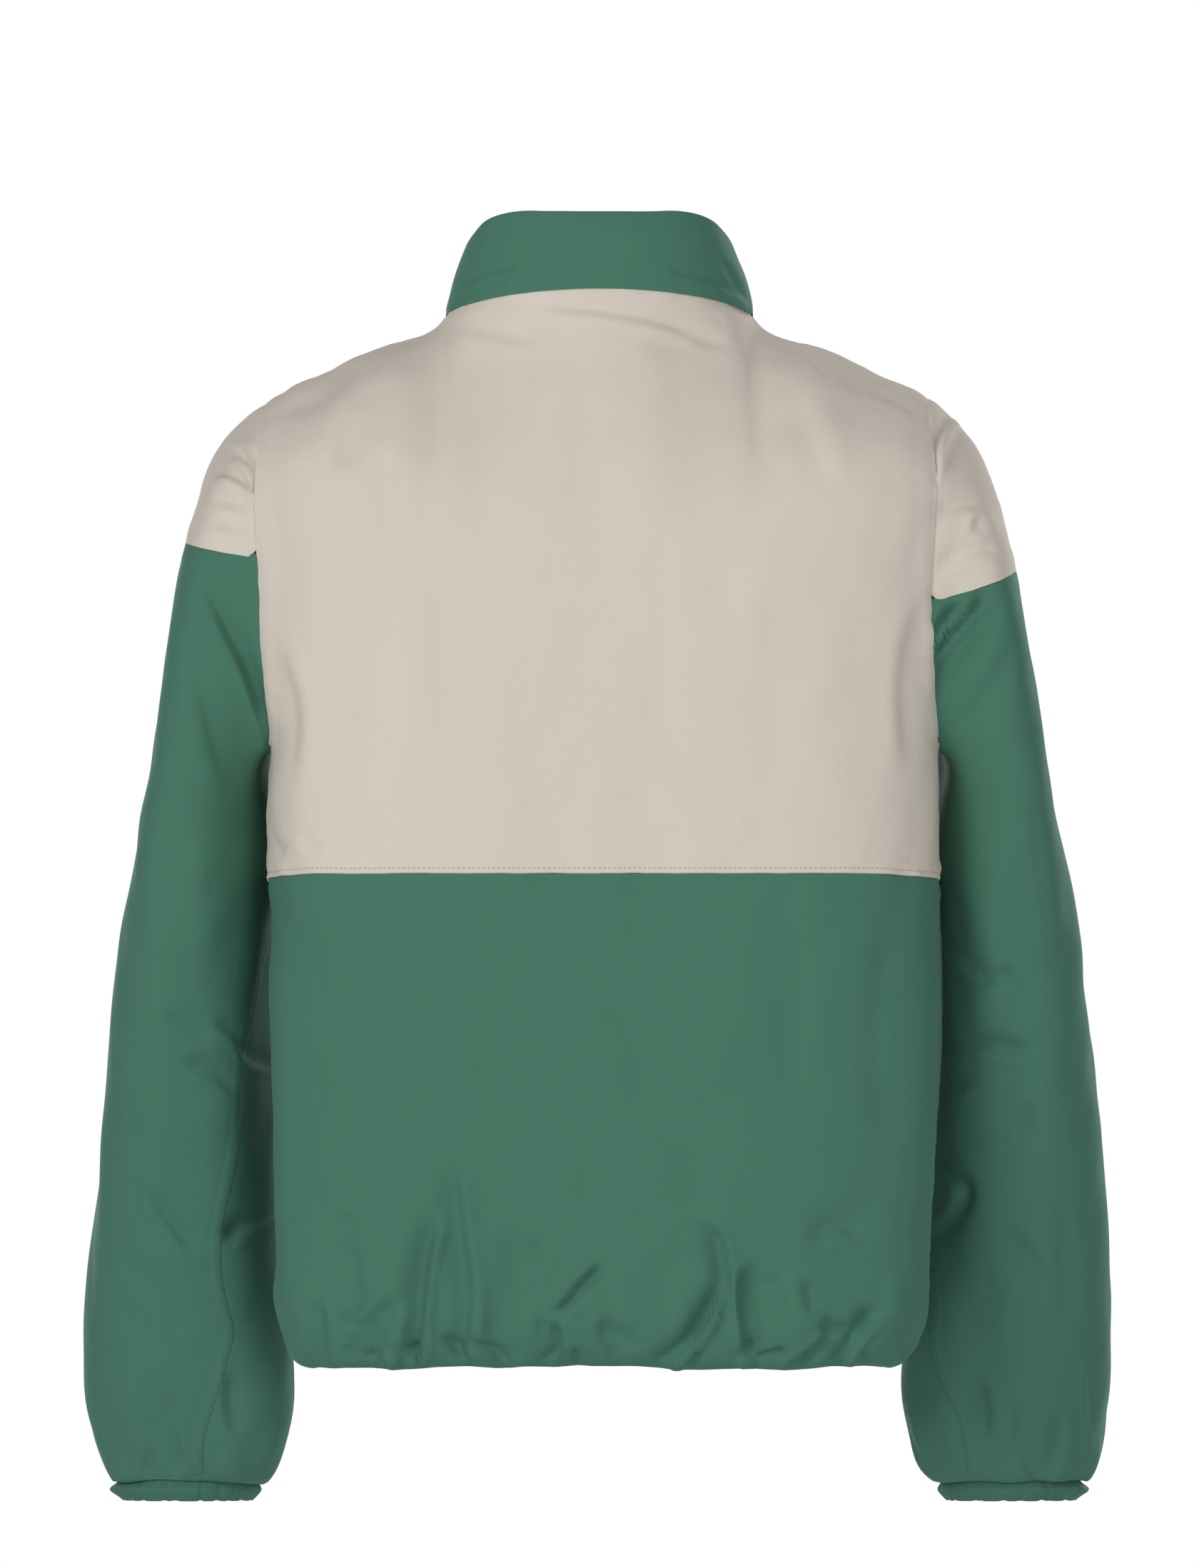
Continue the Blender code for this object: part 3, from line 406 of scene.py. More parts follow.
    def depth(self, side: Side, face: Face, x: Array | float, z: Array | float) -> Array:
        """The depth of the surface at a distance from the middle and a height.

        Args:
            side: left or right half.
            face: back or front.
            x: the distance from the middle.
            z: the height.

        Returns:
            The depth, y.
        """
        x, z = np.asarray(x, float), np.asarray(z, float)
        t = np.clip((self.top_height(face, x) - z) / through(self.rounding, "x", face.value, x), 0.0, 1.0)
        flared = ease(t)
        domed = np.sqrt(1 - (1 - t) ** 2)
        rounding = flared + (domed - flared) * ease((x - 0.055) / 0.055)
        top_y = (self.neck_back_y if face is Face.BACK else self.neck_front_y) * self.neck_turn(x)
        share = np.clip(x / self.half_width(side, z), 0.0, 1.0)
        square = self.squareness[face]
        full = self.middle_y + self.reach(face, z) * (1 - share**square) ** (1 / square)
        return top_y + (full - top_y) * rounding

    def arc_x(self, side: Side, face: Face, share: float, z: float) -> float:
        """The distance from the middle at an even share of the way round, to the armhole or side seam."""
        width = float(self.half_width(side, z))
        edge = width if z < UNDERARM_Z else float(self.armhole_x(side, face, z))
        square = self.squareness[face]
        turn = np.linspace(0.0, 1.0, 160) * math.asin(min(edge / width, 1.0) ** (square / 2))
        xs = width * np.sin(turn) ** (2 / square)
        ys = abs(float(self.reach(face, z))) * np.cos(turn) ** (2 / square)
        along = np.concatenate(([0.0], np.cumsum(np.hypot(np.diff(xs), np.diff(ys)))))
        return float(np.interp(share * along[-1], along, xs))

    def top_x(self, side: Side, share: float, neck_share: float) -> float:
        """The top edge's distance from the middle: round the neck first, then along the shoulder."""
        if share <= neck_share:
            return self.neck_half_width * math.sin(math.pi / 2 * share / neck_share)
        along = (share - neck_share) / (1 - neck_share)
        return self.neck_half_width + (self.shoulder_tip_x[side] - self.neck_half_width) * along

    def seam_z(self, share: float) -> float:
        """The colour seam's height by the share of the way from the middle to the side seam."""
        return self.colour_seam_z - self.colour_seam_dip * share**6

    def upper_rows(self, side: Side, face: Face) -> Array:
        """Rows of points from the top edge to the colour seam.

        Args:
            side: left or right half.
            face: back or front.

        Returns:
            Points by row and column, x as the distance from the middle.
        """
        columns = self.neck_columns[face] + self.shoulder_columns
        shares = np.linspace(0.0, 1.0, columns + 1)
        neck_share = self.neck_columns[face] / columns
        tops = np.array([self.top_x(side, share, neck_share) for share in shares])
        top_zs = self.top_height(face, tops)
        rows = []
        for level in (1 - np.cos(np.linspace(0.0, math.pi, self.armhole_rows + 1))) / 2:
            row = []
            for share, start_x, start_z in zip(shares, tops, top_zs):
                z = float(start_z + (UNDERARM_Z - start_z) * level)
                drift = (start_x - self.arc_x(side, face, share, float(start_z))) * (1 - ease(level))
                x = self.arc_x(side, face, share, z) + drift
                row.append((x, float(self.depth(side, face, x, z)), z))
            rows.append(row)
        for step in range(1, self.chest_rows + 1):
            rows.append(self.level_row(side, face, shares, UNDERARM_Z, self.seam_z, step / self.chest_rows))
        return with_zip_edge(np.array(rows), face)

    def level_row(self, side: Side, face: Face, shares: Array, start_z, end_z, level: float) -> list:
        """One row between two heights, each a number or a function of the share."""
        row = []
        for share in shares:
            start = start_z(share) if callable(start_z) else start_z
            end = end_z(share) if callable(end_z) else end_z
            z = start + (end - start) * level
            x = self.arc_x(side, face, share, z)
            row.append((x, float(self.depth(side, face, x, z)), z))
        return row

    def lower_rows(self, side: Side, face: Face) -> Array:
        """Rows of points from the colour seam to the end of the hem's turn."""
        shares = np.linspace(0.0, 1.0, self.lower_columns[face] + 1)
        rows = []
        for step in range(self.skirt_rows + 1):
            level = step / self.skirt_rows
            row = self.level_row(side, face, shares, self.seam_z, self.hem_roll_z, level)
            rows.append(self.drawn_in(side, face, np.array(row), self.hem_draw * float(ease(2 * level - 1))))
        for turn in self.hem_turn:
            row = self.drawn_in(side, face, rows[self.skirt_rows], turn.inset)
            row[:, 2] = turn.z
            rows.append(row)
        return with_zip_edge(np.array(rows), face)

    def drawn_in(self, side: Side, face: Face, row: Array, inset: float) -> Array:
        """A row moved towards the section's middle by an inset."""
        width = float(self.half_width(side, self.hem_roll_z))
        reach = abs(float(self.reach(face, self.hem_roll_z)))
        moved = row.copy()
        moved[:, 0] *= 1 - inset / width
        moved[:, 1] = self.middle_y + (row[:, 1] - self.middle_y) * (1 - inset / reach)
        return moved


# ---------------------------------------------------------------- the sleeves' form
@dataclass
class Arm:
    """A sleeve's outer surface as rings, worked out for the left side."""

    levels: tuple[SleeveLevel, ...] = table(
        SleeveLevel,
        (-0.300, 0.2260, -0.026, 0.0367, 0.0790, 16.0),
        (-0.345, 0.2298, -0.037, 0.0412, 0.0790, 16.0),
        (-0.390, 0.2328, -0.049, 0.0448, 0.0780, 15.0),
        (-0.430, 0.2350, -0.059, 0.0482, 0.0760, 13.0),
        (-0.470, 0.2367, -0.069, 0.0514, 0.0740, 11.0),
        (-0.510, 0.2376, -0.079, 0.0549, 0.0715, 9.0),
        (-0.550, 0.2379, -0.089, 0.0577, 0.0695, 7.0),
        (-0.585, 0.2372, -0.098, 0.0612, 0.0680, 5.0),
        (-0.610, 0.2365, -0.104, 0.0616, 0.0655, 3.0),
        (-0.633, 0.2358, -0.109, 0.0586, 0.0610, 0.0),
        (-0.650, 0.2362, -0.112, 0.0544, 0.0560, 0.0),
        (-0.662, 0.2376, -0.114, 0.0480, 0.0500, 0.0),
        (-0.6685, 0.2382, -0.115, 0.0455, 0.0465, 0.0),
        (-0.6665, 0.2378, -0.115, 0.0400, 0.0420, 0.0),
    )
    cuff: tuple[SleeveLevel, ...] = table(
        SleeveLevel,
        (-0.6665, 0.2378, -0.1150, 0.0400, 0.0420, 0.0),
        (-0.6715, 0.2392, -0.1155, 0.0436, 0.0445, 0.0),
        (-0.6750, 0.2382, -0.1158, 0.0400, 0.0425, 0.0),
        (-0.6780, 0.2378, -0.1160, 0.0365, 0.0400, 0.0),
    )
    handles: tuple[ArmholeHandle, ...] = table(
        ArmholeHandle,
        (0.00, 0.0530, -0.0030, 0.0230, 0.130),
        (0.12, 0.0450, 0.0020, 0.0240, 0.110),
        (0.25, 0.0260, 0.0030, 0.0240, 0.075),
        (0.38, 0.0190, -0.0020, 0.0160, 0.042),
        (0.50, 0.0150, -0.0060, 0.0040, 0.025),
        (0.62, 0.0220, -0.0060, 0.0150, 0.042),
        (0.75, 0.0360, -0.0080, 0.0240, 0.075),
        (0.88, 0.0490, -0.0060, 0.0240, 0.110),
        (1.00, 0.0530, -0.0030, 0.0230, 0.130),
    )
    fullness: dict[Side, CapFullness] = field(
        default_factory=lambda: {Side.LEFT: CapFullness(0.0068, -0.0093), Side.RIGHT: CapFullness(0.0128, -0.0093)}
    )
    folds: dict[Side, tuple[SleeveFold, ...]] = field(
        default_factory=lambda: {
            Side.LEFT: table(
                SleeveFold,
                (95, -0.150, 150, -0.235, 0.016, 0.0050),
                (110, -0.425, 175, -0.395, 0.016, 0.0045),
                (120, -0.515, 185, -0.535, 0.015, 0.0050),
                (250, -0.380, 190, -0.410, 0.018, 0.0050),
            ),
            Side.RIGHT: table(
                SleeveFold,
                (75, -0.165, 130, -0.205, 0.016, 0.0050),
                (100, -0.417, 175, -0.385, 0.017, 0.0050),
                (115, -0.500, 185, -0.525, 0.015, 0.0060),
                (255, -0.395, 190, -0.430, 0.018, 0.0050),
            ),
        }
    )
    cap_rows: int = 8
    fold_radius: float = 0.062

    @staticmethod
    def ring(level: SleeveLevel, turns: Array) -> Array:
        """One level's ring of points, by the turn from the outer arm over the back."""
        yaw = math.radians(level.yaw)
        across = level.half_x * np.cos(turns)
        along = level.half_y * np.sin(turns)
        x = level.x + across * math.cos(yaw) + along * math.sin(yaw)
        y = level.y - across * math.sin(yaw) + along * math.cos(yaw)
        return np.stack([x, y, np.full_like(x, level.z)], axis=1)

    def fold_depth(self, side: Side, turns: Array, z: Array) -> Array:
        """How far the sleeve's folds draw its ring in, at each turn."""
        total = np.zeros_like(turns)
        here = np.stack([turns * self.fold_radius, z], axis=1)
        for fold in self.folds[side]:
            start = np.array([math.radians(fold.from_turn) * self.fold_radius, fold.from_z])
            end = np.array([math.radians(fold.to_turn) * self.fold_radius, fold.to_z])
            along = end - start
            share = np.clip((here - start) @ along / (along @ along), 0.0, 1.0)
            away = np.linalg.norm(here - start - share[:, None] * along, axis=1)
            total += fold.depth * np.exp(-((away / fold.width) ** 2))
        return total

    def rings(self, side: Side, armhole: Array) -> Array:
        """Rings from the armhole's loop to the sleeve's end.

        Args:
            side: whose folds to lay in.
            armhole: the armhole's points, from the shoulder's tip over the back.

        Returns:
            Points by ring and turn, for the left side.
        """
        shares = np.arange(len(armhole)) / len(armhole)
        turns = 2 * math.pi * shares
        first = self.ring(self.levels[0], turns)
        straight = unit(self.ring(self.levels[1], turns) - first)
        handle = {name: through(self.handles, "share", name, shares) for name in ("out", "back", "drop", "lower")}
        outer = np.maximum(np.cos(turns), 0.0)
        out = handle["out"] + self.fullness[side].start * outer
        near = armhole + np.stack([out, handle["back"], -handle["drop"]], axis=1)
        far = first - straight * handle["lower"][:, None]
        far[:, 0] += self.fullness[side].further * outer
        rings = []
        for step in range(self.cap_rows):
            t = step / self.cap_rows
            curve = (1 - t) ** 3 * armhole + 3 * (1 - t) ** 2 * t * near
            rings.append(curve + 3 * (1 - t) * t * t * far + t**3 * first)
        rings += [self.ring(level, turns) for level in self.levels]
        rings = np.array(rings)
        outward = rings - rings.mean(axis=1, keepdims=True)
        outward[:, :, 2] = 0.0
        outward = unit(outward)
        for row in range(2, len(rings) - 4):
            rings[row] -= outward[row] * self.fold_depth(side, turns, rings[row][:, 2])[:, None]
        return rings


@dataclass
class StandCollar:
    """The stand collar's outer surface, for one half of its back or front."""

    top: tuple[CollarPoint, ...] = table(
        CollarPoint,
        (0, 0.0000, 0.0700, 0.0660),
        (20, 0.0275, 0.0665, 0.0660),
        (38, 0.0490, 0.0560, 0.0659),
        (55, 0.0645, 0.0410, 0.0614),
        (72, 0.0744, 0.0205, 0.0516),
        (90, 0.0776, -0.0020, 0.0418),
        (115, 0.0700, -0.0330, 0.0320),
        (145, 0.0430, -0.0640, 0.0235),
        (180, 0.0000, -0.0790, 0.0200),
    )
    bulge: float = 0.0022
    row_count: int = 3

    def rows(self, face: Face, neck: Array, neck_half_width: float) -> Array:
        """Rows from the collar's top edge to the neck seam.

        Args:
            face: back or front.
            neck: the neck seam's points from the middle outwards.
            neck_half_width: half the width of the neck seam.

        Returns:
            Points by row and column, for the left side.
        """
        turns = np.degrees(np.arcsin(np.clip(neck[:, 0] / neck_half_width, 0.0, 1.0)))
        if face is Face.FRONT:
            turns = 180.0 - np.linspace(0.0, 90.0, len(neck))
        top = np.stack([through(self.top, "turn", name, turns) for name in ("x", "y", "z")], axis=1)
        if face is Face.FRONT:
            top[:, 0] += ZIP_HALF_GAP * np.exp(-top[:, 0] / 0.012)
        outward = unit(top * np.array([1.0, 1.0, 0.0]))
        rows = []
        for step in range(self.row_count, -1, -1):
            t = step / self.row_count
            rows.append(neck + (top - neck) * t + outward * self.bulge * math.sin(math.pi * t))
        rows = np.array(rows)
        if face is Face.FRONT:
            rows[:, 0, 0] = ZIP_HALF_GAP
        return rows


@dataclass
class Form:
    """The jacket's whole outer form: the body, sleeves and collar as grids of points that meet."""

    torso: Torso = field(default_factory=Torso)
    arm: Arm = field(default_factory=Arm)
    collar: StandCollar = field(default_factory=StandCollar)
    relax_rounds: int = 12
    weld_cell: float = 4e-6
    grids: dict[str, Array] = field(default_factory=dict)
    closed: set[str] = field(default_factory=set)

    def build(self) -> Form:
        """Works out every grid, then evens out the cloth's inner points, with the seams' points shared."""
        torso = self.torso
        upper = {(side, face): torso.upper_rows(side, face) for side in Side for face in Face}
        lower = {(side, face): torso.lower_rows(side, face) for side in Side for face in Face}
        collar = {}
        for side in Side:
            back, front = upper[side, Face.BACK], upper[side, Face.FRONT]
            front[0, torso.neck_columns[Face.FRONT] :] = back[0, torso.neck_columns[Face.BACK] :]
            front[torso.armhole_rows :, -1] = back[torso.armhole_rows :, -1]
            lower[side, Face.FRONT][:, -1] = lower[side, Face.BACK][:, -1]
            for face in Face:
                neck = upper[side, face][0, : torso.neck_columns[face] + 1]
                collar[side, face] = self.collar.rows(face, neck, torso.neck_half_width)
        self.grids["back_yoke"] = self.across(upper, Face.BACK)
        self.grids["back_lower"] = self.across(lower, Face.BACK)
        left = [collar[Side.LEFT, Face.FRONT], collar[Side.LEFT, Face.BACK][:, :-1][:, ::-1]]
        right = [collar[Side.RIGHT, Face.BACK][:, 1:], collar[Side.RIGHT, Face.FRONT][:, :-1][:, ::-1]]
        halves = [mirrored(part, Side.LEFT) for part in left] + [mirrored(part, Side.RIGHT) for part in right]
        self.grids["collar"] = np.concatenate(halves, axis=1)
        for side in Side:
            turned = slice(None) if side is Side.LEFT else slice(None, None, -1)
            name = side.value
            self.grids[f"front_yoke_{name}"] = mirrored(upper[side, Face.FRONT], side)[:, turned]
            self.grids[f"front_lower_{name}"] = mirrored(lower[side, Face.FRONT], side)[:, turned]
            behind = upper[side, Face.BACK][: torso.armhole_rows + 1, -1]
            before = upper[side, Face.FRONT][1 : torso.armhole_rows, -1][::-1]
            rings = self.arm.rings(side, np.concatenate([behind, before]))
            self.grids[f"sleeve_{name}"] = mirrored(rings, side)[:, turned]
            self.closed.add(f"sleeve_{name}")
        self.relax()
        return self

    @staticmethod
    def across(rows: dict, face: Face) -> Array:
        """The left and right halves' rows as one grid, from the left side to the right."""
        left, right = mirrored(rows[Side.LEFT, face], Side.LEFT), mirrored(rows[Side.RIGHT, face], Side.RIGHT)
        return np.concatenate([left[:, ::-1], right[:, 1:]], axis=1)

    def relax(self) -> None:
        """Evens out the inner points of the sleeves and yokes without shrinking them. Their edges stay."""
        names = list(self.grids)
        points = np.concatenate([self.grids[name].reshape(-1, 3) for name in names])
        cells = np.round(points / self.weld_cell).astype(np.int64)
        _, first, index = np.unique(cells, axis=0, return_index=True, return_inverse=True)
        index, points = index.reshape(-1), points[first]
        edges, wanted, start, places = set(), set(), 0, {}
        for name in names:
            count, columns = self.grids[name].shape[:2]
            place = index[start : start + count * columns].reshape(count, columns)
            places[name] = place
            start += count * columns
            wrapped = np.concatenate([place, place[:, :1]], axis=1) if name in self.closed else place
            corners = [wrapped[:-1, :-1], wrapped[1:, :-1], wrapped[1:, 1:], wrapped[:-1, 1:]]
            for a, b in zip(corners, corners[1:] + corners[:1]):
                edges.update(zip(a.reshape(-1).tolist(), b.reshape(-1).tolist()))
            if name.startswith(("front_yoke", "sleeve", "back_yoke")):
                wanted.update(place.reshape(-1).tolist())
        rim = {v for a, b in edges if (b, a) not in edges for v in (a, b)} | set(places["collar"].reshape(-1).tolist())
        pairs = np.array(sorted({(min(edge), max(edge)) for edge in edges if edge[0] != edge[1]}))
        moving, counts = np.zeros(len(points)), np.zeros(len(points))
        moving[sorted(wanted - rim)] = 1.0
        np.add.at(counts, pairs.reshape(-1), 1.0)
        for _ in range(self.relax_rounds):
            for strength in (0.50, -0.52):
                total = np.zeros_like(points)
                np.add.at(total, pairs[:, 0], points[pairs[:, 1]])
                np.add.at(total, pairs[:, 1], points[pairs[:, 0]])
                step = total / np.maximum(counts, 1.0)[:, None] - points
                points = points + step * (strength * moving)[:, None]
        for name, place in places.items():
            self.grids[name] = points[place]

    def beyond(self, name: str) -> dict[str, Array]:
        """The neighbours' points just past a panel's edges, so that the cloth runs on smoothly over a seam.

        Args:
            name: the panel.

        Returns:
            A row or column of points for each edge that runs on, under top, left or right.
        """
        rows, grids = self.torso.armhole_rows, self.grids
        back, found = grids["back_yoke"], {}
        if name == "back_yoke":
            top = 2 * back[0] - back[1]
            top[: self.torso.shoulder_columns] = grids["front_yoke_left"][1][::-1][: self.torso.shoulder_columns]
            top[-self.torso.shoulder_columns :] = grids["front_yoke_right"][1][::-1][-self.torso.shoulder_columns :]
            left, right = grids["front_yoke_left"][:, -2].copy(), grids["front_yoke_right"][:, 1].copy()
            left[:rows] = grids["sleeve_left"][1][:rows]
            right[:rows] = grids["sleeve_right"][1][::-1][:rows]
            found = {"top": top, "left": left, "right": right}
        elif name.startswith("front_yoke"):
            side = Side(name.rsplit("_", 1)[1])
            grid, sleeve = grids[name], grids[f"sleeve_{side.value}"][1]
            top, count = 2 * grid[0] - grid[1], self.torso.shoulder_columns
            if side is Side.LEFT:
                top[-count:] = back[1][:count][::-1]
                beside = back[:, 1].copy()
                beside[1:rows] = sleeve[: rows : -1]
                beside[0] = 2 * grid[0, -1] - grid[0, -2]
                found = {"top": top, "right": beside}
            else:
                top[:count] = back[1][-count:][::-1]
                beside = back[:, -2].copy()
                beside[1:rows] = sleeve[::-1][: rows : -1]
                beside[0] = 2 * grid[0, 0] - grid[0, 1]
                found = {"top": top, "left": beside}
        elif name == "back_lower":
            found = {"left": grids["front_lower_left"][:, -2], "right": grids["front_lower_right"][:, 1]}
        elif name == "front_lower_left":
            found = {"right": grids["back_lower"][:, 1]}
        elif name == "front_lower_right":
            found = {"left": grids["back_lower"][:, -2]}
        elif name.startswith("sleeve"):
            side = Side(name.rsplit("_", 1)[1])
            front = grids[f"front_yoke_{side.value}"]
            if side is Side.LEFT:
                behind, before = back[: rows + 1, 1].copy(), front[1:rows, -2][::-1]
                behind[rows] = back[rows + 1, 0]
                found = {"top": np.concatenate([behind, before])}
            else:
                behind, before = back[: rows + 1, -2].copy(), front[1:rows, 1][::-1]
                behind[rows] = back[rows + 1, -1]
                found = {"top": np.concatenate([behind, before])[::-1]}
        return found


# ---------------------------------------------------------------- smooth surfaces through the grids
class Track:
    """Smooth paths through rows of points that share their knots, as long as the cloth on average."""

    def __init__(self, rows: Array, inner_first: int = 0, inner_last: int | None = None) -> None:
        """Fits the paths.

        Args:
            rows: points by row and path, with any rows beyond the ends.
            inner_first: the first row that belongs to the cloth.
            inner_last: the last one, or None for the very last row.
        """
        steps = np.linalg.norm(np.diff(rows, axis=0), axis=2).mean(axis=1)
        knots = np.concatenate([[0.0], np.cumsum(np.maximum(steps, 1e-5))])
        speeds = np.diff(rows, axis=0) / np.diff(knots)[:, None, None]
        widths = np.diff(knots)[:, None, None]
        slopes = np.concatenate([speeds[:1], speeds])
        slopes[1:-1] = (widths[1:] * speeds[:-1] + widths[:-1] * speeds[1:]) / (widths[1:] + widths[:-1])
        slopes[0] = 1.5 * speeds[0] - 0.5 * slopes[1]
        slopes[-1] = 1.5 * speeds[-1] - 0.5 * slopes[-2]
        inner_last = len(rows) - 1 if inner_last is None else inner_last
        self.rows, self.slopes = rows, slopes
        self.knots = knots - knots[inner_first]
        self.length = float(self.knots[inner_last])

    def at(self, places: Array) -> Array:
        """Points on the paths.

        Args:
            places: distances from the start, either one list for all paths, or by row and path.

        Returns:
            Points by row and path.
        """
        places = np.asarray(places, float)
        if places.ndim == 1:
            places = np.repeat(places[:, None], self.rows.shape[1], axis=1)
        i = np.clip(np.searchsorted(self.knots, places, side="right") - 1, 0, len(self.knots) - 2)
        path = np.arange(self.rows.shape[1])[None, :]
        step = (self.knots[i + 1] - self.knots[i])[..., None]
        t = (places[..., None] - self.knots[i][..., None]) / step
        return (
            (1 + 2 * t) * (1 - t) ** 2 * self.rows[i, path]
            + t * (1 - t) ** 2 * step * self.slopes[i, path]
            + t * t * (3 - 2 * t) * self.rows[i + 1, path]
            + t * t * (t - 1) * step * self.slopes[i + 1, path]
        )


def padded(grid: Array, beyond: dict[str, Array]) -> Array:
    """A grid with one more row and column on each side, from its neighbours or straight on."""
    top = beyond.get("top", 2 * grid[0] - grid[1])
    bottom = beyond.get("bottom", 2 * grid[-1] - grid[-2])
    tall = np.concatenate([top[None], grid, bottom[None]])
    left, right = 2 * tall[:, 0] - tall[:, 1], 2 * tall[:, -1] - tall[:, -2]
    if "left" in beyond:
        left[1:-1] = beyond["left"]
    if "right" in beyond:
        right[1:-1] = beyond["right"]
    return np.concatenate([left[:, None], tall, right[:, None]], axis=1)


def spread(start: float, end: float, step: float, near: tuple[float, ...] = (0.0008, 0.0018, 0.0032)) -> Array:
    """Distances from start to end about a step apart, and closer together beside both ends."""
    inner_start, inner_end = start + near[-1], end - near[-1]
    count = max(int(math.ceil((inner_end - inner_start) / step)), 1)
    middle = np.linspace(inner_start, inner_end, count + 1)
    return np.concatenate([[start], [start + d for d in near[:-1]], middle, [end - d for d in near[:-1]][::-1], [end]])


def grid_normals(points: Array, closed: bool) -> Array:
    """Each grid point's outward direction."""
    if closed:
        across = np.roll(points, -1, axis=1) - np.roll(points, 1, axis=1)
    else:
        across = np.gradient(points, axis=1)
    return unit(np.cross(np.gradient(points, axis=0), across))


def grid_quads(rows: int, columns: int, closed: bool) -> Array:
    """A grid's faces, as rows of four indices."""
    index = np.arange(rows * columns).reshape(rows, columns)
    wrapped = np.concatenate([index, index[:, :1]], axis=1) if closed else index
    return np.stack([wrapped[:-1, :-1], wrapped[1:, :-1], wrapped[1:, 1:], wrapped[:-1, 1:]], axis=-1).reshape(-1, 4)


# ---------------------------------------------------------------- creases
@dataclass(frozen=True)
class Crease:
    """A crease as seen from behind: its path in millimetres (+x is the jacket's left), width and depth.

    A negative depth is a ridge. lean makes one side steep, with a lip beyond it: the path's left where it is
    positive. One that runs out stays deep to the end of its path.
    """

    path: Path
    width: float
    depth: float
    lean: float = 0.0
    runs_out: bool = False

    def relief(self, places: Array) -> Array:
        """How far the crease moves the cloth outwards.

        Args:
            places: x and z of each point, in millimetres.

        Returns:
            The move of each point, in metres.
        """
        rows = np.array(self.path, float)[:, None, :]
        track = Track(np.concatenate([rows, np.zeros_like(rows[..., :1])], axis=2))
        line = track.at(np.linspace(0.0, track.length, 24))[:, 0, :2]
        starts, spans = line[:-1], np.diff(line, axis=0)
        lengths = np.maximum((spans**2).sum(axis=1), 1e-9)
        near = np.full(len(places), np.inf)
        share, signed = np.zeros(len(places)), np.zeros(len(places))
        for n, (start, span, length) in enumerate(zip(starts, spans, lengths)):
            offset = places - start
            along = np.clip(offset @ span / length, 0.0, 1.0)
            away = offset - along[:, None] * span
            distance = np.hypot(away[:, 0], away[:, 1])
            turn = span[0] * offset[:, 1] - span[1] * offset[:, 0]
            closer = distance < near
            near = np.where(closer, distance, near)
            share = np.where(closer, (n + along) / len(spans), share)
            signed = np.where(closer, np.where(turn > 0, distance, -distance), signed)
        lean = abs(self.lean)
        steep = ease(0.5 + signed * np.sign(self.lean) / self.width)
        u = np.abs(signed) / (self.width * (1 + 0.9 * lean - 1.5 * lean * steep))
        shape = -np.exp(-(u**2)) + 0.6 * lean * steep * np.exp(-(((u - 2.0) / 0.9) ** 2))
        fade = ease(share / 0.3)
        if not self.runs_out:
            fade = fade * ease((1 - share) / 0.3)
        return self.depth * MILLIMETRE * shape * fade


@dataclass(frozen=True)
class Ripple:
    """Soft unevenness of the cloth, as a sum of waves in many directions."""

    seed: int
    wavelength: tuple[float, float]
    height: float
    stretch: tuple[float, float, float] = (1.0, 1.0, 1.0)
    waves: int = 18

    def relief(self, points: Array) -> Array:
        """How far the unevenness moves each point outwards, in metres."""
        random = np.random.default_rng(self.seed)
        total = np.zeros(points.shape[:-1])
        scaled = points / np.array(self.stretch)
        for _ in range(self.waves):
            direction = unit(random.normal(size=3))
            number = 2 * math.pi / random.uniform(*self.wavelength)
            phase = random.uniform(0, 2 * math.pi)
            total += np.sin(scaled @ direction * number + phase)
        return self.height * total / math.sqrt(self.waves / 2)


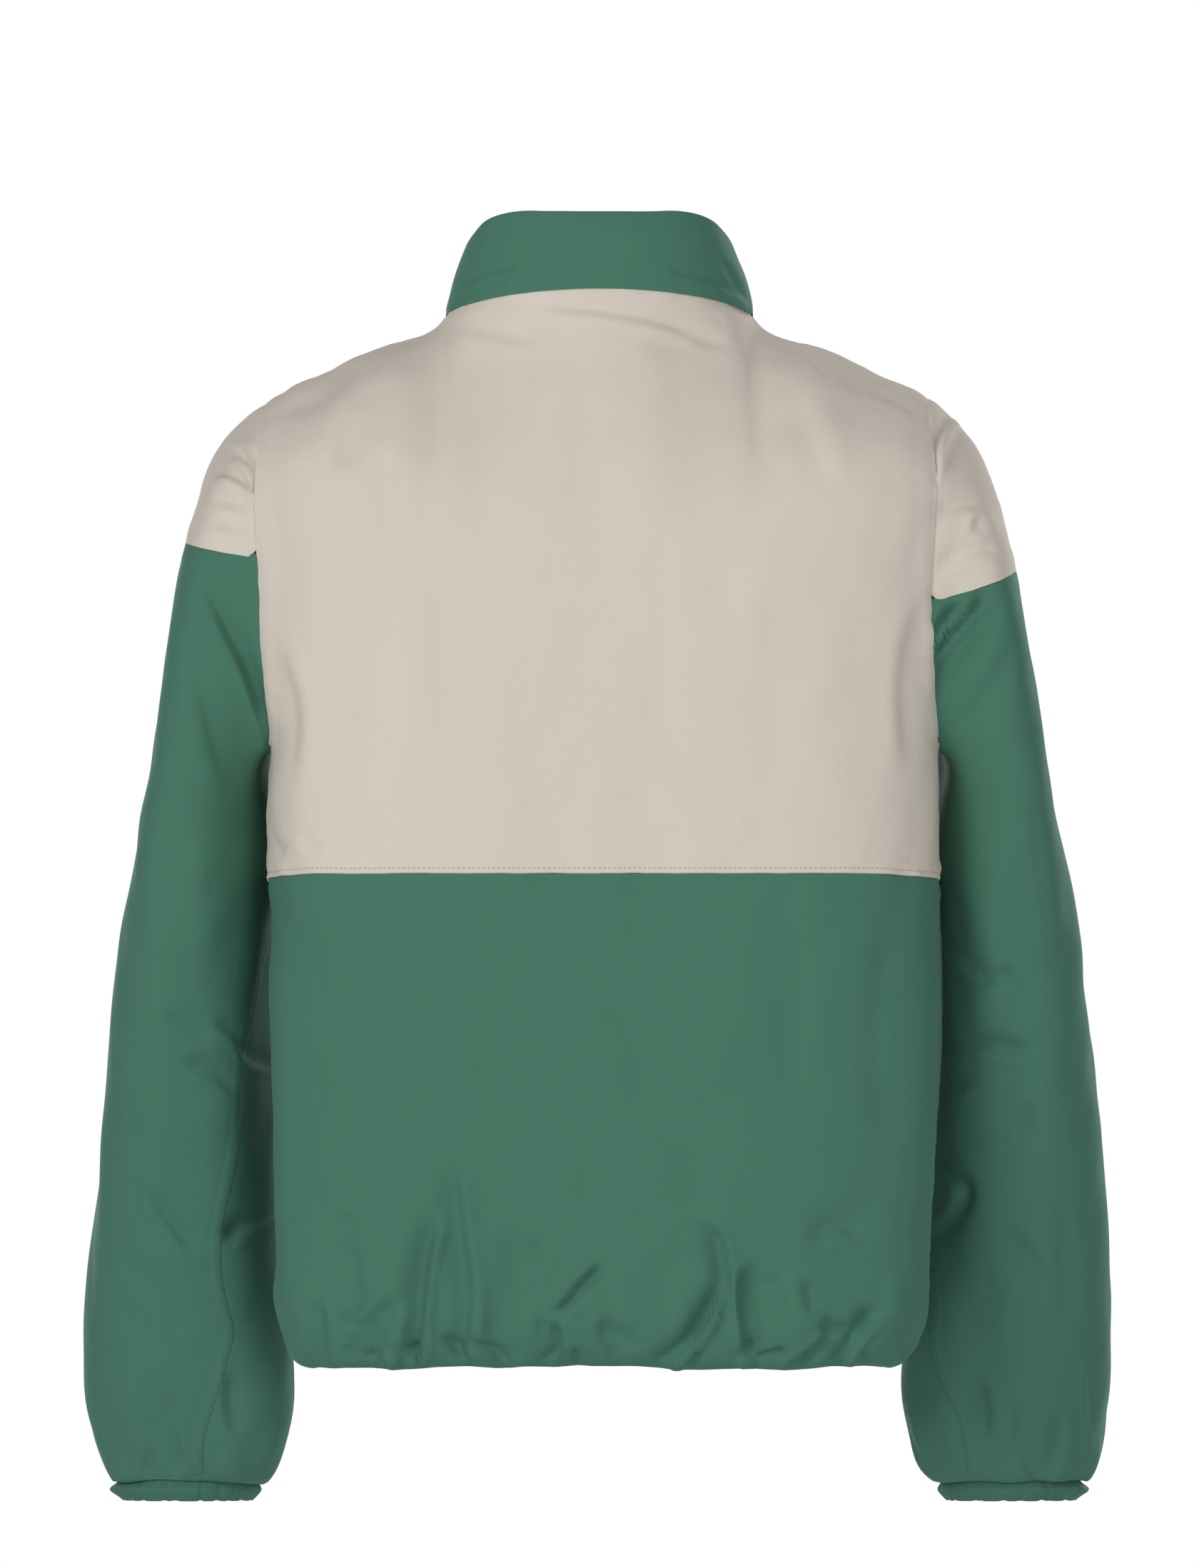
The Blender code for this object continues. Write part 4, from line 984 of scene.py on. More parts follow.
DRAPE = Ripple(11, (0.045, 0.110), 0.00085, (1.0, 1.0, 2.8))
CRUSH = Ripple(12, (0.016, 0.040), 0.00026, (1.0, 1.0, 1.8))
BACK_HEM_CREASES = table(
    Crease,
    (((147, -518), (143, -536), (140, -556), (138, -572)), 7.0, 3.2, -0.5),
    (((136, -519), (146, -515), (152, -522)), 5.0, 2.0, 0.4),
    (((120, -548), (128, -560), (137, -568), (147, -584)), 4.0, -3.8, 0.4),
    (((117, -556), (122, -572), (128, -592)), 7.5, 6.1, -0.6, True),
    (((91, -504), (97, -523), (102, -550), (104, -588)), 5.5, 8.1, -0.8, True),
    (((86, -470), (82, -516), (77, -556), (78, -586)), 6.0, 5.2, -0.6, True),
    (((92, -580), (84, -588), (75, -597)), 3.2, 4.6, 0.5, True),
    (((76, -583), (69, -588), (63, -590), (56, -597)), 3.0, 5.8, 0.6, True),
    (((50, -512), (50, -548), (51, -590)), 7.0, 4.1, -0.5, True),
    (((35, -522), (39, -541), (43, -564)), 5.5, 3.8, -0.5),
    (((-4, -536), (13, -553), (28, -571)), 3.0, 6.1, 0.7),
    (((-2, -545), (12, -560), (20, -574)), 5.0, -2.3),
    (((28, -571), (23, -580), (23, -589), (31, -598)), 3.2, 5.5, -0.6, True),
    (((30, -573), (37, -578)), 3.5, 2.6),
    (((4, -572), (-12, -582), (-26, -584)), 6.0, 3.8, 0.3),
    (((-7, -586), (-11, -597)), 3.5, 3.5, 0.4, True),
    (((-53, -515), (-66, -522), (-71, -541), (-74, -574)), 4.5, 5.5, -0.6),
    (((-70, -546), (-63, -567), (-55, -580), (-38, -598)), 4.6, 8.7, -0.8, True),
    (((-92, -535), (-84, -549), (-85, -570), (-88, -594)), 5.2, 7.0, 0.6, True),
    (((-98, -541), (-101, -560), (-104, -580)), 8.0, 4.3, -0.4),
    (((-77, -598), (-84, -590), (-90, -587)), 3.0, 4.1, 0.5),
    (((-109, -588), (-99, -591), (-91, -598)), 3.0, 4.6, 0.5, True),
    (((-136, -576), (-124, -588), (-110, -598)), 3.4, 4.9, 0.6, True),
    (((-120, -534), (-134, -518), (-156, -523)), 6.0, 3.2, 0.5),
    (((-119, -546), (-122, -570)), 5.5, 3.8, 0.4),
    (((-125, -573), (-136, -577), (-146, -576)), 4.0, 4.9, 0.4),
    (((-164, -562), (-154, -573), (-145, -584), (-138, -598)), 4.4, 6.7, -0.7, True),
    (((-181, -588), (-169, -599)), 3.2, 4.9, 0.5, True),
    (((164, -556), (161, -578), (159, -598)), 5.0, 4.6, -0.4, True),
    (((108, -587), (104, -598)), 3.0, 3.5, 0.4, True),
    (((124, -588), (117, -592), (112, -599)), 3.0, 3.8, 0.5, True),
    (((148, -588), (141, -593), (136, -599)), 3.2, 3.8, 0.5, True),
    (((134, -592), (127, -599)), 2.8, 2.9, 0.4, True),
    (((16, -588), (12, -598)), 3.0, 2.9, 0.4, True),
    (((-58, -588), (-52, -598)), 3.0, 3.2, -0.4, True),
    (((-154, -590), (-150, -599)), 3.0, 3.2, 0.4, True),
    (((152, -567), (141, -575), (133, -577)), 3.0, 2.3, 0.5),
    (((166, -330), (160, -400), (163, -470)), 9.0, 1.4),
    (((112, -318), (106, -380), (98, -450), (94, -500)), 10.0, 2.2, -0.3),
    (((60, -316), (64, -380), (58, -470)), 12.0, 1.3),
    (((-30, -320), (-24, -400), (-34, -480)), 13.0, 1.3, 0.3),
    (((-104, -318), (-112, -390), (-106, -470)), 11.0, 1.7, -0.3),
    (((-168, -330), (-160, -410), (-166, -480)), 9.0, 1.7),
)
FRONT_HEM_CREASES = table(
    Crease,
    (((160, -545), (158, -570), (155, -596)), 6.0, 3.9, 0.3, True),
    (((136, -515), (131, -548), (130, -590)), 6.0, 6.0, -0.5, True),
    (((112, -540), (108, -566), (112, -596)), 5.0, 4.2, 0.4, True),
    (((84, -505), (78, -540), (80, -590)), 6.5, 6.6, -0.5, True),
    (((66, -560), (56, -580), (50, -598)), 5.0, 4.2, 0.5, True),
    (((40, -528), (42, -560), (37, -594)), 6.5, 4.2, 0.3, True),
    (((22, -575), (19, -597)), 4.5, 2.7, 0.3, True),
    (((-20, -570), (-24, -597)), 4.5, 2.7, 0.3, True),
    (((-38, -520), (-42, -555), (-46, -594)), 6.5, 4.8, 0.4, True),
    (((-60, -558), (-70, -580), (-73, -598)), 5.0, 3.9, -0.4, True),
    (((-92, -500), (-88, -540), (-94, -590)), 6.5, 6.6, 0.5, True),
    (((-112, -545), (-120, -570), (-118, -597)), 5.5, 4.2, 0.3, True),
    (((-140, -520), (-137, -556), (-143, -594)), 6.5, 5.4, -0.4, True),
    (((-165, -555), (-161, -597)), 5.0, 3.6, 0.3, True),
)
BACK_YOKE_CREASES = table(
    Crease,
    (((141, -20), (161, -33), (180, -52)), 5.0, 3.0, 0.5),
    (((130, -28), (141, -55), (150, -88)), 8.0, 3.6, 0.5),
    (((124, -66), (121, -98), (120, -130)), 7.0, 2.4, -0.3),
    (((50, 13), (5, 10), (-20, 6), (-44, 0), (-68, -9), (-86, -14)), 4.2, 2.4, 0.4),
    (((-19, -14), (-48, -9), (-78, -8)), 5.0, 1.7, -0.3),
    (((84, 1), (58, -4), (30, -9)), 5.0, 1.8, 0.3),
    (((-112, -10), (-137, -27), (-156, -40)), 4.2, 2.7, 0.5),
    (((-148, -32), (-170, -43), (-187, -55)), 3.8, 2.7, 0.5),
    (((-108, -34), (-120, -64), (-130, -100)), 9.0, 2.4, -0.4),
    (((188, -180), (177, -222), (180, -272)), 6.5, 2.7, -0.4),
    (((-186, -150), (-176, -205), (-180, -262)), 6.5, 2.7, 0.4),
    (((192, -294), (180, -305)), 3.6, 2.4, 0.4),
    (((172, -292), (160, -304)), 3.6, 1.8, 0.3),
    (((96, -120), (88, -190), (92, -270)), 12.0, 1.7, 0.3),
    (((36, -90), (42, -170), (36, -250)), 14.0, 1.4),
    (((-40, -100), (-34, -180), (-42, -270)), 13.0, 1.5, -0.3),
    (((-96, -130), (-104, -200), (-98, -280)), 12.0, 1.7, 0.3),
    (((152, -140), (144, -200), (148, -260)), 10.0, 1.7, -0.3),
)
CAP_CREASES = table(
    Crease,
    (((220, -65), (208, -69), (195, -72)), 3.4, -2.7, 0.3, True),
    (((213, -71), (204, -77), (200, -83), (197, -94)), 3.0, 5.1, 0.6, True),
    (((229, -87), (217, -85), (209, -87), (203, -91), (196, -99)), 3.4, 5.4, 0.7, True),
    (((229, -94), (228, -105), (226, -115)), 3.6, 1.4, 0.4),
    (((226, -101), (211, -102), (196, -107)), 4.0, 2.4, 0.4, True),
    (((226, -114), (211, -115), (196, -119)), 4.0, 2.1, 0.4, True),
    (((-185, -43), (-189, -53), (-191, -64)), 3.0, -2.7, 0.3),
    (((-204, -50), (-196, -62), (-193, -70), (-192, -84)), 3.4, 5.1, -0.6, True),
    (((-210, -56), (-204, -70), (-202, -84)), 4.5, 2.7, 0.4),
    (((-190, -112), (-206, -104), (-224, -101)), 4.5, 3.0, 0.5, True),
    (((-221, -108), (-216, -120)), 4.0, 2.4, 0.4),
    (((-192, -141), (-207, -132), (-226, -128)), 4.5, 2.7, 0.4, True),
    (((-232, -104), (-236, -122)), 4.0, 2.4, 0.4),
)
SLEEVE_CREASES = table(
    Crease,
    (((231, -140), (216, -170), (205, -192), (195, -217), (188, -240)), 4.6, 6.3, 0.6, True),
    (((222, -150), (208, -182), (196, -202)), 5.0, -2.1),
    (((240, -170), (226, -214), (212, -258), (200, -284)), 8.0, 3.3, 0.4),
    (((205, -250), (212, -300), (222, -350)), 9.0, 2.7, -0.4),
    (((250, -240), (254, -300), (250, -360)), 10.0, 2.0, 0.3),
    (((224, -402), (212, -406), (202, -420), (190, -425)), 4.0, 5.1, 0.6, True),
    (((242, -424), (222, -430), (206, -441)), 5.0, 3.3, 0.5),
    (((252, -398), (236, -404), (222, -414)), 5.0, 2.4, 0.4),
    (((218, -528), (205, -519), (188, -512)), 4.2, 6.6, 0.6, True),
    (((262, -496), (245, -518), (232, -534)), 4.2, 3.9, 0.6),
    (((270, -540), (252, -560), (240, -590)), 6.5, 3.3, 0.4),
    (((276, -440), (268, -480), (272, -520)), 8.0, 2.2, -0.3),
    (((210, -600), (213, -621), (208, -642)), 4.5, 4.2, 0.5),
    (((244, -612), (248, -634), (243, -656)), 4.5, 3.0, -0.5, True),
    (((262, -626), (258, -646), (262, -660)), 4.0, 2.7, 0.4, True),
    (((289, -634), (273, -642)), 3.6, 3.0, 0.4),
    (((-208, -156), (-198, -168), (-187, -180)), 3.6, 5.4, 0.6, True),
    (((-221, -147), (-216, -161), (-206, -174), (-193, -189)), 3.8, 6.6, 0.7, True),
    (((-230, -156), (-222, -168), (-208, -184), (-188, -208)), 4.4, 5.4, 0.6, True),
    (((-244, -182), (-226, -206), (-206, -238)), 7.0, 2.7, 0.4),
    (((-218, -250), (-212, -300), (-220, -340)), 9.0, 2.4, 0.3),
    (((-252, -236), (-258, -300), (-254, -360)), 10.0, 2.0, -0.3),
    (((-192, -352), (-202, -358), (-214, -370)), 3.8, 3.9, 0.5, True),
    (((-196, -374), (-214, -378), (-234, -375)), 4.2, 3.9, 0.5, True),
    (((-194, -416), (-216, -414), (-240, -418)), 4.2, 4.5, 0.6, True),
    (((-192, -438), (-208, -438)), 3.8, 3.6, 0.5, True),
    (((-189, -466), (-196, -485), (-208, -498), (-201, -514), (-189, -527)), 4.2, 7.8, 0.6, True),
    (((-243, -446), (-247, -476)), 5.5, 2.7, 0.4),
    (((-228, -518), (-248, -538), (-262, -566)), 6.5, 3.3, -0.4),
    (((-274, -500), (-268, -540), (-274, -580)), 7.0, 2.4, 0.3),
    (((-288, -583), (-285, -600), (-286, -621), (-288, -655)), 3.8, 4.5, 0.6),
    (((-215, -602), (-222, -622), (-220, -646)), 4.5, 4.2, -0.5),
    (((-246, -614), (-242, -636), (-247, -658)), 4.5, 3.0, 0.5, True),
    (((-264, -624), (-267, -644), (-262, -660)), 4.0, 2.7, -0.4, True),
)
FRONT_YOKE_CREASES = table(
    Crease,
    (((128, -30), (139, -62), (146, -98)), 9.0, 2.1, 0.3),
    (((108, -52), (106, -96), (110, -140)), 9.0, 1.5, -0.2),
    (((168, -196), (150, -212), (131, -236)), 7.0, 3.3, 0.5, False),
    (((172, -228), (156, -246), (146, -276)), 6.0, 2.7, 0.4),
    (((60, -60), (52, -96), (54, -150)), 10.0, 1.4),
    (((-126, -28), (-136, -60), (-150, -92)), 9.0, 2.2, -0.3),
    (((-110, -70), (-108, -118), (-114, -160)), 9.0, 1.5, 0.2),
    (((-170, -188), (-152, -208), (-136, -226)), 7.0, 3.6, -0.5),
    (((-174, -222), (-160, -248), (-150, -284)), 6.0, 2.7, -0.4),
    (((-56, -70), (-48, -120), (-52, -170)), 10.0, 1.4),
)
CAP_FRONT_CREASES = table(
    Crease,
    (((206, -62), (190, -82), (180, -104)), 4.5, 3.3, 0.5, True),
    (((226, -78), (204, -92), (186, -118)), 5.0, 2.7, 0.4, True),
    (((-202, -58), (-190, -80), (-182, -100)), 4.5, 3.0, -0.5, True),
    (((-224, -84), (-206, -98), (-188, -124)), 5.0, 3.0, -0.4, True),
)
SLEEVE_FRONT_CREASES = table(
    Crease,
    (((232, -150), (214, -178), (198, -206), (186, -232)), 6.0, 4.2, 0.4, True),
    (((248, -172), (230, -206), (212, -240), (202, -268)), 7.0, 3.4, 0.3),
    (((206, -352), (224, -362), (246, -360)), 5.0, 3.6, 0.5),
    (((198, -380), (222, -390), (250, -384)), 5.5, 3.9, -0.5),
    (((204, -412), (226, -414), (252, -404)), 5.0, 3.1, 0.4),
    (((268, -430), (262, -470), (266, -510)), 8.0, 2.0, 0.2),
    (((204, -500), (222, -512), (240, -536)), 5.0, 2.8, 0.4),
    (((214, -590), (220, -614), (216, -640)), 5.0, 2.8, 0.4),
    (((262, -600), (266, -622), (260, -646)), 4.5, 2.5, -0.4),
    (((-230, -158), (-214, -182), (-196, -210), (-188, -230)), 6.0, 4.2, -0.4, True),
    (((-250, -180), (-228, -214), (-210, -250)), 7.0, 3.1, -0.3),
    (((-206, -360), (-226, -372), (-250, -366)), 5.0, 3.9, -0.5),
    (((-200, -392), (-224, -398), (-248, -390)), 5.5, 3.4, 0.5),
    (((-208, -424), (-230, -428), (-254, -420)), 5.0, 2.8, 0.4),
    (((-270, -450), (-262, -490), (-268, -530)), 8.0, 2.0, 0.2),
    (((-202, -506), (-220, -520), (-242, -540)), 5.0, 3.1, -0.4),
    (((-216, -596), (-222, -620), (-216, -646)), 5.0, 2.8, 0.4),
    (((-262, -604), (-268, -628), (-262, -650)), 4.5, 2.5, -0.4),
)
COLLAR_CREASES = table(
    Crease,
    (((87, 16), (78, 24), (66, 30), (52, 33)), 2.6, 1.7, 0.4, True),
    (((84, 12), (72, 19), (56, 24)), 2.4, 1.4, 0.4, True),
    (((-84, 13), (-72, 22), (-58, 28), (-44, 30)), 2.6, 1.7, -0.4, True),
    (((-88, 10), (-80, 22), (-74, 34)), 2.6, 1.4, 0.4, True),
    (((40, 44), (6, 46), (-30, 43)), 6.0, 0.8),
)


# ---------------------------------------------------------------- finishes
@dataclass(frozen=True)
class ShellCloth:
    """A soft, slightly crinkled woven shell cloth with a faint sheen."""

    name: str
    colour: tuple[float, float, float]
    roughness: float = 0.80
    sheen: float = 0.12
    mottle: float = 0.055
    cloud: float = 0.05
    crinkle: float = 0.30
    weave: float = 0.10
    crinkle_scale: float = 260.0
    weave_pitch: float = 0.00055

    def material(self) -> bpy.types.Material:
        """Builds the finish.

        Returns:
            The material.
        """
        made = bpy.data.materials.new(self.name)
        made.use_nodes = True
        nodes, links = made.node_tree.nodes, made.node_tree.links
        shader = nodes["Principled BSDF"]
        shader.inputs["Sheen Weight"].default_value = self.sheen
        shader.inputs["Sheen Roughness"].default_value = 0.5
        shader.inputs["Sheen Tint"].default_value = (*(channel**0.6 for channel in self.colour), 1.0)
        shader.inputs["Specular IOR Level"].default_value = 0.10
        place = nodes.new("ShaderNodeTexCoord")
        grain = self.noise(nodes, links, place, (900.0, 900.0, 900.0), 3.0)
        clouds = self.noise(nodes, links, place, (16.0, 16.0, 7.0), 2.0)
        tone = nodes.new("ShaderNodeMath")
        tone.operation = "MULTIPLY_ADD"
        tone.inputs[1].default_value = self.mottle
        links.new(grain.outputs["Fac"], tone.inputs[0])
        spread_out = nodes.new("ShaderNodeMath")
        spread_out.operation = "MULTIPLY_ADD"
        spread_out.inputs[1].default_value = self.cloud
        spread_out.inputs[2].default_value = 1.0 - (self.mottle + self.cloud) / 2
        links.new(clouds.outputs["Fac"], spread_out.inputs[0])
        links.new(spread_out.outputs[0], tone.inputs[2])
        tint = nodes.new("ShaderNodeVectorMath")
        tint.operation = "SCALE"
        tint.inputs[0].default_value = self.colour
        links.new(tone.outputs[0], tint.inputs["Scale"])
        links.new(tint.outputs["Vector"], shader.inputs["Base Color"])
        dull = nodes.new("ShaderNodeMapRange")
        dull.inputs["To Min"].default_value = self.roughness - 0.06
        dull.inputs["To Max"].default_value = self.roughness + 0.06
        links.new(clouds.outputs["Fac"], dull.inputs["Value"])
        links.new(dull.outputs["Result"], shader.inputs["Roughness"])
        crinkles = self.noise(nodes, links, place, (self.crinkle_scale, self.crinkle_scale, 0.45 * self.crinkle_scale), 4.0)
        soft = nodes.new("ShaderNodeBump")
        soft.inputs["Strength"].default_value = self.crinkle
        soft.inputs["Distance"].default_value = 0.0006
        links.new(crinkles.outputs["Fac"], soft.inputs["Height"])
        threads = self.threads(nodes, links, place)
        fine = nodes.new("ShaderNodeBump")
        fine.inputs["Strength"].default_value = self.weave
        fine.inputs["Distance"].default_value = 0.0001
        links.new(threads, fine.inputs["Height"])
        links.new(soft.outputs["Normal"], fine.inputs["Normal"])
        links.new(fine.outputs["Normal"], shader.inputs["Normal"])
        return made

    @staticmethod
    def noise(nodes, links, place, scale: tuple[float, float, float], detail: float) -> bpy.types.Node:
        """A noise texture in the jacket's own metres, with its own scale each way."""
        mapping = nodes.new("ShaderNodeMapping")
        mapping.inputs["Scale"].default_value = scale
        links.new(place.outputs["Object"], mapping.inputs["Vector"])
        noise = nodes.new("ShaderNodeTexNoise")
        noise.inputs["Scale"].default_value = 1.0
        noise.inputs["Detail"].default_value = detail
        links.new(mapping.outputs["Vector"], noise.inputs["Vector"])
        return noise

    def threads(self, nodes, links, place) -> bpy.types.NodeSocket:
        """The plain weave's height: warp and weft waves laid across each other."""
        sums = nodes.new("ShaderNodeMath")
        sums.operation = "ADD"
        for n, direction in enumerate(("X", "Y")):
            wave = nodes.new("ShaderNodeTexWave")
            wave.bands_direction = direction
            wave.inputs["Scale"].default_value = 1.0 / (self.weave_pitch * 20.0)
            wave.inputs["Distortion"].default_value = 0.3
            links.new(place.outputs["UV"], wave.inputs["Vector"])
            links.new(wave.outputs["Fac"], sums.inputs[n])
        return sums.outputs[0]


@dataclass(frozen=True)
class Thread:
    """Sewing thread, a little shinier than the cloth."""

    name: str
    colour: tuple[float, float, float]

    def material(self) -> bpy.types.Material:
        """Builds the finish."""
        made = bpy.data.materials.new(self.name)
        made.use_nodes = True
        nodes, links = made.node_tree.nodes, made.node_tree.links
        shader = nodes["Principled BSDF"]
        shader.inputs["Roughness"].default_value = 0.5
        shader.inputs["Sheen Weight"].default_value = 0.2
        noise = ShellCloth.noise(nodes, links, nodes.new("ShaderNodeTexCoord"), (2500.0,) * 3, 2.0)
        ramp = nodes.new("ShaderNodeMapRange")
        ramp.inputs["To Min"].default_value = 0.85
        ramp.inputs["To Max"].default_value = 1.1
        links.new(noise.outputs["Fac"], ramp.inputs["Value"])
        tint = nodes.new("ShaderNodeVectorMath")
        tint.operation = "SCALE"
        tint.inputs[0].default_value = self.colour
        links.new(ramp.outputs["Result"], tint.inputs["Scale"])
        links.new(tint.outputs["Vector"], shader.inputs["Base Color"])
        return made


@dataclass(frozen=True)
class ZipMetal:
    """Satin metal with fine brushing and duller worn patches."""

    name: str
    colour: tuple[float, float, float] = (0.56, 0.56, 0.57)

    def material(self) -> bpy.types.Material:
        """Builds the finish."""
        made = bpy.data.materials.new(self.name)
        made.use_nodes = True
        nodes, links = made.node_tree.nodes, made.node_tree.links
        shader = nodes["Principled BSDF"]
        shader.inputs["Metallic"].default_value = 1.0
        shader.inputs["Base Color"].default_value = (*self.colour, 1.0)
        place = nodes.new("ShaderNodeTexCoord")
        brushed = ShellCloth.noise(nodes, links, place, (6000.0, 6000.0, 500.0), 3.0)
        worn = nodes.new("ShaderNodeMapRange")
        worn.inputs["To Min"].default_value = 0.25
        worn.inputs["To Max"].default_value = 0.45
        links.new(brushed.outputs["Fac"], worn.inputs["Value"])
        links.new(worn.outputs["Result"], shader.inputs["Roughness"])
        bump = nodes.new("ShaderNodeBump")
        bump.inputs["Strength"].default_value = 0.15
        bump.inputs["Distance"].default_value = 0.0001
        links.new(brushed.outputs["Fac"], bump.inputs["Height"])
        links.new(bump.outputs["Normal"], shader.inputs["Normal"])
        return made


@dataclass(frozen=True)
class PalePlain:
    """The plain pale floor."""

    name: str
    colour: tuple[float, float, float]

    def material(self) -> bpy.types.Material:
        """Builds the finish."""
        made = bpy.data.materials.new(self.name)
        made.use_nodes = True
        shader = made.node_tree.nodes["Principled BSDF"]
        shader.inputs["Base Color"].default_value = (*self.colour, 1.0)
        shader.inputs["Roughness"].default_value = 0.9
        return made


# ---------------------------------------------------------------- cloth panels
@dataclass
class Panel:
    """One cut piece of cloth: its outer surface as a grid of points, and how its edges are made."""

    name: str
    slot: str
    points: Array
    normals: Array
    closed: bool = False
    thickness: float = 0.0018
    sewn_thickness: float = 0.0004
    edges: dict[str, Edge] = field(default_factory=dict)
    cut: tuple[float, float] = (0.0, 0.0)
    cut_area: float = 0.0

    @classmethod
    def smooth(cls, form: Form, name: str, slot: str, step: float, thickness: float = 0.0018, **edges: Edge) -> Panel:
        """A panel that follows one whole grid of the form.

        Args:
            form: the jacket's form.
            name: the grid's name, also the piece's.
            slot: the record's material slot.
            step: how far apart the fine points lie.
            thickness: the shell's thickness.
            **edges: how the top, bottom, left and right edges are made.

        Returns:
            The panel.
        """
        grid = padded(form.grids[name], form.beyond(name))
        columns = Track(grid.transpose(1, 0, 2), 1, grid.shape[1] - 2)
        reaches = {Edge.SEAM: 0.0002, Edge.UNDER: UNDER_REACH, Edge.LAPPED: 0.0015, Edge.FOLD: -thickness / 2}
        reach = {edge: reaches[made] for edge, made in edges.items()}
        across = columns.at(spread(-reach["left"], columns.length + reach["right"], step)).transpose(1, 0, 2)
        rows = Track(across, 1, len(grid) - 2)
        points = rows.at(spread(-reach["top"], rows.length + reach["bottom"], step))
        return cls(name, slot, points, grid_normals(points, False), False, thickness, edges=edges)

    def distance(self, edge: str) -> Array:
        """How far each point lies from an edge, along the cloth."""
        axis = 0 if edge in ("top", "bottom") else 1
        steps = np.linalg.norm(np.diff(self.points, axis=axis), axis=2)
        zero = np.zeros_like(steps.take([0], axis=axis))
        along = np.concatenate([zero, np.cumsum(steps, axis=axis)], axis=axis)
        if edge in ("bottom", "right"):
            along = along.take([-1], axis=axis) - along
        return along

    def edge_relief(self) -> Array:
        """How the edges move the cloth: into its seams, over a turned edge, and puckered by the sewing."""
        total = np.zeros(self.points.shape[:2])
        pucker = Ripple(21, (0.009, 0.022), 0.00022).relief(self.points)
        for name, edge in self.edges.items():
            away = self.distance(name)
            if edge is Edge.SEAM:
                total -= 0.00035 * np.exp(-((away / 0.0026) ** 2))
                total += 0.00035 * np.exp(-(((away - 0.0075) / 0.0045) ** 2))
                total += pucker * np.exp(-away / 0.011)
            elif edge is Edge.UNDER:
                total -= 0.00085 * (1 - ease((away - UNDER_REACH + 0.0003) / 0.0040))
                total += 0.00035 * np.exp(-(((away - UNDER_REACH - 0.0085) / 0.0045) ** 2))
                total += pucker * np.exp(-np.maximum(away - UNDER_REACH, 0.0) / 0.011)
            elif edge is Edge.LAPPED:
                total += 0.0007 * (1 - ease((away - 0.0070) / 0.0030))
                total -= 0.00035 * np.exp(-(((away - 0.0022) / 0.0011) ** 2))
                total += 1.6 * pucker * np.exp(-away / 0.012)
        return total

    def lay(
        self, creases: tuple[Crease, ...], face: Face, ripples: tuple[Ripple, ...] = (), calm: Array | float = 1.0
    ) -> None:
        """Lays creases over the side of the cloth that faces back or front.

        Args:
            creases: the creases, in place as seen from behind.
            face: the side that they lie on.
            ripples: soft unevenness all over.
            calm: the share of its depth that each crease keeps at each point.
        """
        places = self.points[..., [0, 2]].reshape(-1, 2) / MILLIMETRE
        total = np.zeros(self.points.shape[:2])
        for crease in creases:
            line = np.array(crease.path, float)
            low, high = line.min(0) - 5 * crease.width, line.max(0) + 5 * crease.width
            if (places.max(0) < low).any() or (places.min(0) > high).any():
                continue
            total += crease.relief(places).reshape(total.shape)
        total *= ease((self.normals[..., 1] * face.sign + 0.15) / 0.45) * (1 - 0.75 * self.normals[..., 2] ** 4) * calm
        for edge, made in self.edges.items():
            if made is not Edge.FOLD:
                total *= 0.25 + 0.75 * ease((self.distance(edge) - 0.001) / 0.009)
        for ripple in ripples:
            total += ripple.relief(self.points)
        self.move(total)

    def soften(self, rounds: int) -> None:
        """Smooths the cloth along its normals, with its edges held, then sets it a little inwards."""
        for _ in range(rounds):
            points = self.points
            if self.closed:
                beside = (np.roll(points, 1, axis=1) + np.roll(points, -1, axis=1))[1:-1]
                mean, inner = (beside + points[:-2] + points[2:]) / 4, (slice(1, -1), slice(None))
            else:
                beside = points[1:-1, :-2] + points[1:-1, 2:]
                mean, inner = (beside + points[:-2, 1:-1] + points[2:, 1:-1]) / 4, (slice(1, -1), slice(1, -1))
            normals = self.normals[inner]
            step = ((mean - points[inner]) * normals).sum(axis=2, keepdims=True) * (1 - normals[..., 2:] ** 2) ** 2
            self.points = points.copy()
            self.points[inner] += 0.6 * step * normals
        self.move(np.full(self.points.shape[:2], -0.0003))

    def move(self, outwards: Array) -> None:
        """Moves each point along its normal, then works out the normals again."""
        self.points = self.points + self.normals * outwards[..., None]
        self.normals = grid_normals(self.points, self.closed)

    def line(self, edge: str, away: float) -> tuple[Array, Array]:
        """A line on the cloth that runs beside an edge.

        Args:
            edge: top, bottom, left or right.
            away: how far from the edge.

        Returns:
            The line's points and their normals.
        """
        distance, points, normals = self.distance(edge), self.points, self.normals
        if edge in ("left", "right"):
            distance, points, normals = distance.T, points.transpose(1, 0, 2), normals.transpose(1, 0, 2)
        if edge in ("bottom", "right"):
            distance, points, normals = distance[::-1], points[::-1], normals[::-1]
        row = np.clip((distance < away).sum(axis=0), 1, len(distance) - 1)
        path = np.arange(distance.shape[1])
        low, high = distance[row - 1, path], distance[row, path]
        t = np.clip((away - low) / np.maximum(high - low, 1e-9), 0.0, 1.0)[:, None]
        place = points[row - 1, path] * (1 - t) + points[row, path] * t
        return place, unit(normals[row - 1, path] * (1 - t) + normals[row, path] * t)

